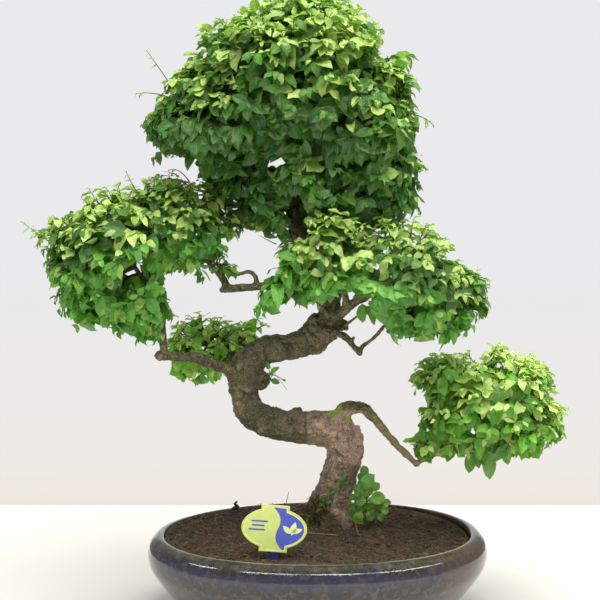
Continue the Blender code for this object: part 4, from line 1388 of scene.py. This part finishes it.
def label_outline(inset, height):
    """The label's edge: an oval with a flat tab above and below."""
    wide, tall = LABEL_HALF_WIDTH - inset, LABEL_HALF_HEIGHT - inset
    tab, top = TAB_HALF_WIDTH - inset, LABEL_HALF_HEIGHT + TAB_REACH - inset
    corner = math.acos(min(1.0, tab / wide))
    points = []
    for side in (1, -1):
        arc = [corner * (2 * k / 24 - 1) for k in range(25)]
        for turn in arc:
            points.append((side * wide * math.cos(turn), side * tall * math.sin(turn), height))
        points += [(side * tab, side * top, height), (-side * tab, side * top, height)]
    return points


def plate(outlines):
    """A closed skin through outlines of equal counts, with flat ends."""
    bm = bmesh.new()
    loops = [[bm.verts.new(point) for point in outline] for outline in outlines]
    for low, high in zip(loops, loops[1:]):
        for k in range(len(low)):
            nxt = (k + 1) % len(low)
            bm.faces.new((low[k], low[nxt], high[nxt], high[k]))
    bm.faces.new(loops[0][::-1])
    bm.faces.new(loops[-1])
    return bm


def label_piece(name, bm, material, replaces=()):
    """Stands a label shape, drawn lying with its front up, at the label's place."""
    upright = Matrix.Rotation(math.radians(90), 4, "X")
    lean = Matrix.Rotation(LABEL_LEAN, 4, "X")
    roll = Matrix.Rotation(0 if name == "label_spike" else LABEL_ROLL, 4, "Z")
    place = Matrix.Translation(LABEL_CENTRE) @ lean @ upright @ roll
    bmesh.ops.transform(bm, matrix=place, verts=bm.verts)
    add_piece(name, mesh_from_bmesh(name, bm), material, replaces)


def flat_shape(outline, low, high):
    return plate([[(x, y, low) for x, y in outline], [(x, y, high) for x, y in outline]])


def field_edge(y):
    """How far right the label's blue field starts at a height."""
    return 4 + 5 * math.sin(y / 7.5) - 0.28 * y


def make_label():
    """The oval label: lime with a blue field, a leaf sprig and plain bars, and a dark stake."""
    lime = plastic_material("label_lime", (206, 218, 124), (192, 206, 114))
    blue = plastic_material("label_blue", (78, 92, 190), (70, 82, 172))
    pale = plastic_material("label_pale", (228, 238, 160), (214, 226, 150))
    stake_blue = plastic_material("label_stake", (34, 42, 96), (28, 34, 80))
    label_piece("label_plate", plate([
        label_outline(0.4, -0.9), label_outline(0, -0.5), label_outline(0, 0.5), label_outline(0.4, 0.9),
        label_outline(1.6, 0.9), label_outline(2.0, 0.62), label_outline(2.2, 0.6),
    ]), lime, ("plant_label",))
    label_piece("label_line", plate([label_outline(2.1, 0.5), label_outline(2.1, 0.66)]), pale)
    label_piece("label_ground", plate([label_outline(2.8, 0.5), label_outline(2.8, 0.7)]), lime)
    heights = [-22.6 + 45.2 * k / 24 for k in range(25)]
    field = [(field_edge(y), y) for y in heights]
    inner = [(x, y) for x, y, _ in label_outline(3.2, 0)]
    start = min(range(len(inner)), key=lambda k: math.dist(inner[k], field[-1]))
    rim = [inner[(start - k) % len(inner)] for k in range(len(inner))]
    stop = min(range(len(rim)), key=lambda k: math.dist(rim[k], field[0]))
    right = [(x, y) for x, y in rim[: stop + 1] if x > field_edge(y)]
    label_piece("label_field", flat_shape([*field, *right][::-1], 0.55, 0.76), blue)
    for k, (x, y, long, turn) in enumerate(((19, -6, 15, 78), (19, -3, 12, 20), (18, -4, 12, 140))):
        label_piece(f"label_leaf_{k}", flat_shape(leaf_outline(x, y, long, turn), 0.7, 0.9), pale)
    for k, (y, half) in enumerate(((7, 8), (2.5, 6), (-2, 8))):
        bar = rounded_bar(-18 + y * 0.3, y, half, 0.9)
        label_piece(f"label_bar_{k}", flat_shape(bar, 0.55, 0.78), blue)
    bottom = STAKE_BOTTOM_Z - LABEL_CENTRE[2]
    outline = [(-4.5, -20), (-4.5, bottom + 14), (-1.6, bottom), (1.6, bottom), (4.5, bottom + 14), (4.5, -20)]
    inset = [(x * 0.8, y + 0.4) for x, y in outline]
    label_piece("label_spike", plate([
        [(x, y, -0.7) for x, y in inset], [(x, y, -0.4) for x, y in outline],
        [(x, y, 0.2) for x, y in outline], [(x, y, 0.5) for x, y in inset],
    ]), stake_blue, ("plant_label",))


def leaf_outline(x, y, long, turn):
    """A plain pointed leaf, drawn from its root."""
    way = math.radians(turn)
    sides = [0.0, 0.12, 0.3, 0.5, 0.7, 0.88, 1.0]
    points = [(share, 0.24 * math.sin(math.pi * share**0.8)) for share in sides]
    points += [(share, -0.24 * math.sin(math.pi * share**0.8)) for share in sides[-2:0:-1]]
    turned = []
    for along, half in points:
        turned.append((
            x + long * (along * math.cos(way) - half * math.sin(way)),
            y + long * (along * math.sin(way) + half * math.cos(way)),
        ))
    return turned[::-1]


def rounded_bar(x, y, half, radius):
    points = []
    for side in (1, -1):
        for k in range(9):
            turn = math.radians(-90 + 180 * k / 8)
            points.append((x + side * (half + radius * math.cos(turn)), y + side * radius * math.sin(turn)))
    return points


# Round leaves of the shoot beside the trunk's base: x, y, z of the leaf's middle, its length,
# and the turn of its blade from right to up, as seen from the front
SHOOT_LEAVES = [
    (58, 2, 154, 19, 60), (69, 3, 135, 18, 10), (47, -4, 114, 14, -100), (60, 0, 115, 12, -60),
    (77, 4, 120, 10, -10), (73, 6, 112, 10, -40), (46, 0, 145, 16, 150), (48, -2, 133, 14, 200),
    (41, 6, 135, 11, 180), (54, 12, 164, 12, 95), (57, 8, 142, 15, 110), (50, 10, 148, 12, 120),
    (63, 8, 129, 13, -20), (55, 4, 123, 12, -80), (76, 10, 126, 11, 15), (41, 8, 123, 10, 195),
    (65, 12, 146, 13, 35), (61, 10, 121, 11, -50), (47, 3, 124, 12, 220), (80, 16, 127, 9, 20),
    (52, 18, 155, 13, 100), (69, 20, 124, 12, 0), (54, 20, 134, 13, 160), (66, 22, 112, 11, -30),
    (40, 14, 114, 10, -140), (60, 26, 150, 12, 70),
]
SHOOT_STEM = [(55, 20, 84, 1.8), (56, 17, 104, 1.6), (57, 14, 125, 1.3), (56, 15, 148, 0.9)]
TRUNK_SPRIG_STEM = [(20, 24, 118, 0.6), (22, 20, 132, 0.5), (26, 18, 146, 0.4)]
ELBOW_STEM = [(-62, 32, 270, 1.2), (-56, 26, 273, 1.0), (-50, 22, 272, 0.6)]
ELBOW_LEAVES = [
    (-48, 22, 278, 12, 40), (-47, 22, 265, 12, -12), (-55, 22, 282, 9, 100),
    (-37, 22, 266, 5, -30), (-52, 22, 273, 8, 15),
]
TRUNK_LEAVES = [
    (12, 14, 141, 9, 200), (28, 14, 150, 11, 60), (31, 14, 156, 9, 50), (24, 14, 146, 9, 80),
    (33, 14, 150, 8, 30), (7, 14, 130, 8, 160), (10, 13, 133, 7, 90),
    (5, 13, 125, 8, 190), (17, 14, 138, 8, 40),
    (9, 12, 122, 8, -60), (2, 13, 118, 7, 200), (14, 12, 128, 7, 20),
]
# Long leaves that hang below the low right head
HANGING_STEM = [(120, 8, 196, 1.2), (150, 4, 190, 1.0), (178, 2, 186, 0.8), (206, 2, 190, 0.6)]
HANGING_LEAVES = [
    (172, 0, 177, 26, -100), (192, 0, 173, 33, -80), (180, 4, 180, 22, -60), (150, 6, 184, 20, -120),
    (213, 6, 182, 20, -75), (186, 8, 178, 20, -110),
]

# A few leaves in the open fork of the trunk
FORK_STEM = [(31, 14, 329, 1.9), (38, 10, 335, 1.5), (45, 7, 341, 1.2), (55, 2, 350, 0.8), (62, 0, 356, 0.5)]
FORK_LEAVES = [(49, -2, 345, 22, -95), (61, -2, 346, 24, -40), (66, 0, 354, 16, 20)]


def make_sprig(
    name, stem, leaves, leaf, twig, replaces=(), powers=ROUND_POWERS, broad=(0.86, 1.0), young_and_lit=(0.1, 0.7),
    tones=(0.45, 1),
):
    """A short stem whose leaves each hang on a thin stalk of their own."""
    draw = random.Random(SEED + len(leaves))
    twigs = Heap()
    route = smooth_route(stem, 4)
    twigs.add_tube(route, 8, 0.6)
    blades = []
    for x, y, z, length, turn in leaves:
        angle = math.radians(turn)
        way = Vector((math.cos(angle), draw.uniform(-0.5, 0.1), math.sin(angle))).normalized()
        base = Vector((x, y, z)) - way * length * 0.5
        start = min(route, key=lambda stop: (stop.xyz - base).length)
        bow = start.xyz.lerp(base, 0.5) + UP * 1.5
        twigs.add_tube(bend(start.xyz, bow, base + way * 0.6, 5, (0.6, 0.4)), 5, 0.9)
        face = Vector((0, -0.85, 0.5)) + scatter(draw, 0.22)
        tone = draw.uniform(*tones)
        width = length * draw.uniform(*broad)
        youth_and_lit = draw.uniform(*young_and_lit)
        blades.append((*base, *way, *face, length, width, youth_and_lit, tone, draw.random() * 0.6))
    mesh = blade_mesh(f"leaves_{name}", blades, SEED, powers)
    add_piece(f"leaves_{name}", mesh, leaf, replaces)
    heap_piece(f"stem_{name}", twigs, twig, replaces)


# Thin new shoots: start, middle and end
STRAY_SHOOTS = [
    ((-158, 10, 592), (-174, 4, 616), (-186, 0, 633)), ((-165, 6, 583), (-183, 2, 589), (-196, 0, 586)),
    ((-292, 8, 420), (-310, 2, 435), (-326, -2, 447)), ((-192, 0, 470), (-205, -4, 490), (-209, -6, 502)),
    ((-140, 0, 490), (-150, 0, 505), (-160, 0, 504)), ((98, 10, 566), (117, 4, 562), (126, 0, 553)),
    ((150, -26, 388), (172, -26, 392), (187, -28, 384)), ((-45, -30, 424), (-54, -30, 428), (-62, -30, 433)),
]


def make_stray_shoots(leaf, twig):
    """Thin new shoots that stand out of the heads, each with a few small leaves."""
    draw = random.Random(SEED + 4)
    twigs = Heap()
    blades = []
    for shoot in STRAY_SHOOTS:
        start, middle, end = (Vector(place) for place in shoot)
        route = bend(start, middle, end, 9, (0.8, 0.35))
        twigs.add_tube(route, 5, 0.8)
        grown = []
        leaf_pairs(route, (end - start).normalized(), 1.0, STRAY_LOOKS, draw, grown)
        for *place, length, width, _, tone, blue_sheen in grown:
            blades.append((*place, length * 0.6, width * 0.55, 0.8, tone, blue_sheen))
    add_piece("leaves_stray", blade_mesh("leaves_stray", blades, SEED), leaf)
    heap_piece("twigs_stray", twigs, twig)


def make_tangle(name, material, count, tones, draw):
    """Fine roots or moss heaped against the left of the trunk's base."""
    heap = Heap()
    for _ in range(count):
        rise = draw.random() ** 1.6
        place = Vector((draw.gauss(-1, 5.5) + 9 * rise, draw.gauss(21, 4), 97 + 34 * rise))
        heading = draw.uniform(0, 2 * math.pi)
        route = []
        for _ in range(5):
            route.append(Vector((*place, draw.uniform(0.3, 0.55))))
            heading += draw.gauss(0, 0.9)
            way = Vector((math.cos(heading), 0.6 * draw.gauss(0, 1), math.sin(heading)))
            place += way * draw.uniform(1.0, 2.4)
        heap.add_tube(route, 4, draw.uniform(*tones))
    heap_piece(name, heap, material)


DARK_THREAD = 5


def make_threads(fibre):
    """Dry stalks and threads that stand in the soil by the trunk."""
    routes = [
        [(-33, 24, 98, 0.5), (-35, 22, 120, 0.45), (-32, 20, 137, 0.35)],
        [(-33, 22, 100, 0.5), (-30, 20, 117, 0.4), (-12, 20, 125, 0.4), (-3, 20, 122, 0.4)],
        [(-26, 18, 99, 0.5), (-18, 16, 112, 0.45), (-8, 16, 110, 0.4), (-3, 16, 102, 0.4)],
        [(46, 2, 118, 0.5), (44, -4, 104, 0.5), (47, -10, 96, 0.5), (50, -18, 93, 0.45)],
        [(-14, -10, 98, 0.6), (4, -14, 98, 0.6), (24, -16, 97, 0.5)],
        [(-96, 92, 94, 2.6), (-98, 92, 99, 2.8), (-93, 92, 102, 2.2), (-97, 92, 105, 1.6), (-94, 92, 108, 1.2)],
        [(-58, 34, 286, 0.3), (-40, 30, 262, 0.3), (-34, 28, 254, 0.25)],
    ]
    heap = Heap()
    for k, route in enumerate(routes):
        heap.add_tube(smooth_route(route, 3), 6, 0.1 if k == DARK_THREAD else 0.85)
    heap_piece("dry_threads", heap, fibre)


def make_stage():
    """Table and camera."""
    bm = bmesh.new()
    size = (2 * TABLE_HALF_WIDTH, TABLE_BACK - TABLE_FRONT, TABLE_THICKNESS)
    middle = (0, (TABLE_BACK + TABLE_FRONT) / 2, -TABLE_THICKNESS / 2)
    bmesh.ops.create_cube(bm, size=1, matrix=Matrix.Translation(middle) @ Matrix.Diagonal((*size, 1)))
    mesh = mesh_from_bmesh("table_top", bm)
    mesh.materials.append(table_material())
    table = placed("table_top", mesh)
    table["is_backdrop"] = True
    data = bpy.data.cameras.new("camera")
    data.sensor_width = SENSOR_WIDTH
    data.lens = FOCAL_PX / PHOTO_WIDTH_PX * SENSOR_WIDTH
    camera = placed("camera", data)
    camera.location = Vector(CAMERA_PLACE) * MM
    camera.rotation_euler = (CAMERA_PITCH, 0, 0)
    bpy.context.scene.camera = camera


def area_light(name, place, target, size, power, colour):
    """A soft light."""
    data = bpy.data.lights.new(name, "AREA")
    data.shape = "RECTANGLE"
    data.size, data.size_y = size
    data.energy = power
    data.color = colour
    light = placed(name, data)
    light.location = place
    light.rotation_euler = (Vector(place) - Vector(target)).to_track_quat("Z", "Y").to_euler()
    return light


def make_world():
    """A pale backdrop, and round it a room that is dim towards the viewer but for a thin row of windows."""
    world = bpy.data.worlds.new("studio")
    bpy.context.scene.world = world
    world.use_nodes = True
    world.node_tree.nodes.clear()
    sky = Nodes(world.node_tree, "Generated")
    side, away, up = sky.axes()
    path = sky.node("ShaderNodeLightPath")
    glossy = path.outputs["Is Glossy Ray"]
    soft = sky.step(away, -0.5, 0.4, ROOM_FRONT, ROOM_BACK)
    mirrored = sky.step(up, 0.35, 0.9, ROOM_FRONT, ROOM_CEILING)
    mirrored = sky.step(away, 0.9, 0.97, mirrored, ROOM_BACK_GLOSS)
    room = sky.step(glossy, 0, 1, soft, mirrored)
    ragged = sky.times(sky.noise(14, detail=3), WINDOW_RAGGED, up)
    off = sky.math("ABSOLUTE", sky.math("SUBTRACT", ragged, WINDOW_RISE + WINDOW_RAGGED / 2))
    windows = sky.step(off, WINDOW_HALF, WINDOW_HALF / 2)
    windows = sky.times(windows, sky.step(away, *WINDOW_ENDS))
    from_gap = sky.math("ABSOLUTE", sky.math("SUBTRACT", side, WINDOW_GAP))
    windows = sky.times(windows, sky.step(from_gap, *WINDOW_GAP_EDGE))
    windows = sky.times(windows, sky.step(sky.noise(90), 0.36, 0.48))
    strength = sky.times(sky.times(windows, glossy), WINDOW_LIGHT, room)
    lit = sky.node("ShaderNodeBackground", {"Color": (*COOL, 1), "Strength": strength})
    wall = sky.ramp(
        sky.times(up, 2.0, 0.5), (0.0, linear(238, 231, 223)), (0.06, linear(239, 236, 230)),
        (0.16, linear(236, 234, 232)), (0.3, linear(234, 233, 235)), (0.6, linear(234, 234, 237)),
    )
    seen = sky.node("ShaderNodeBackground", {"Color": wall, "Strength": 1.0})
    parts = {0: path.outputs["Is Camera Ray"], 1: lit.outputs[0], 2: seen.outputs[0]}
    blend = sky.node("ShaderNodeMixShader", parts)
    sky.node("ShaderNodeOutputWorld", {"Surface": blend.outputs[0]})


def make_light():
    """Soft light from above and a little from the front, with a sheen that the pot doesn't catch."""
    make_world()
    area_light("overhead", *OVERHEAD, OVERHEAD_POWER, WARM).visible_glossy = False
    sheen = area_light("sheen", *OVERHEAD, SHEEN_POWER, WARM)
    sheen.visible_diffuse = False
    sheen.visible_transmission = False
    dull = bpy.data.collections.new("dull")
    for name in ("pot_glazed", "table_top", "soil_peat"):
        dull.objects.link(bpy.data.objects[name])
    sheen.light_linking.receiver_collection = dull
    for entry in dull.collection_objects:
        entry.light_linking.link_state = "EXCLUDE"
    area_light("front_fill", *FRONT_FILL, FRONT_FILL_POWER, COOL).visible_glossy = False
    bpy.context.scene.view_settings.view_transform = "Standard"


def write_sizes():
    for name, (low, high) in (("cad", cad_box), ("visual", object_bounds())):
        [float(part) for part in low]
        [float(part) for part in high]


def main():
    # The offsets of noise_vector come from the clock unless they are seeded
    noise.seed_set(SEED)
    make_stage()
    leaf = leaf_material("privet_leaf", (36, 86, 36), (78, 142, 50), (214, 234, 128), (140, 212, 64))
    # A lighter copy of the leaf paint, as painted light for the backlit and low heads
    painted_light_leaf = leaf_material(
        "privet_leaf_painted_light", (48, 112, 34), (104, 172, 50), (232, 242, 150), (170, 235, 60)
    )
    shoot_leaf = leaf_material("round_leaf", (22, 72, 30), (56, 122, 40), (150, 196, 70), (130, 200, 55))
    bark = bark_material()
    twig = twig_material()
    soil = soil_material()
    fibre = fibre_material()
    moss = moss_material()
    make_pot(pot_material())
    make_soil(soil)
    make_fibres(fibre)
    make_crumbs(soil)
    make_moss(moss)
    draw = random.Random(SEED + 6)
    make_tangle("root_tangle", fibre, 440, (0.0, 0.55), draw)
    make_tangle("root_moss", moss, 170, (0.1, 0.9), draw)
    make_wood(bark)
    make_heads(leaf, painted_light_leaf, twig)
    make_stray_shoots(leaf, twig)
    make_sprig("shoot", SHOOT_STEM, SHOOT_LEAVES, shoot_leaf, twig, ("basal_shoot",), tones=(0.0, 0.75))
    make_sprig(
        "elbow", ELBOW_STEM, ELBOW_LEAVES, shoot_leaf, twig, ("elbow_sprig",), LEAF_POWERS, (0.5, 0.66)
    )
    make_sprig(
        "trunk", TRUNK_SPRIG_STEM, TRUNK_LEAVES, leaf, twig, broad=(0.35, 0.6), young_and_lit=(0.0, 0.25),
        tones=(0.0, 0.5),
    )
    for name, stem, leaves in (("hanging", HANGING_STEM, HANGING_LEAVES), ("fork", FORK_STEM, FORK_LEAVES)):
        make_sprig(name, stem, leaves, leaf, twig, (), LEAF_POWERS, (0.5, 0.62), (0.0, 0.2), (0.4, 0.7))
    make_threads(fibre)
    make_label()
    make_light()


main()
write_sizes()
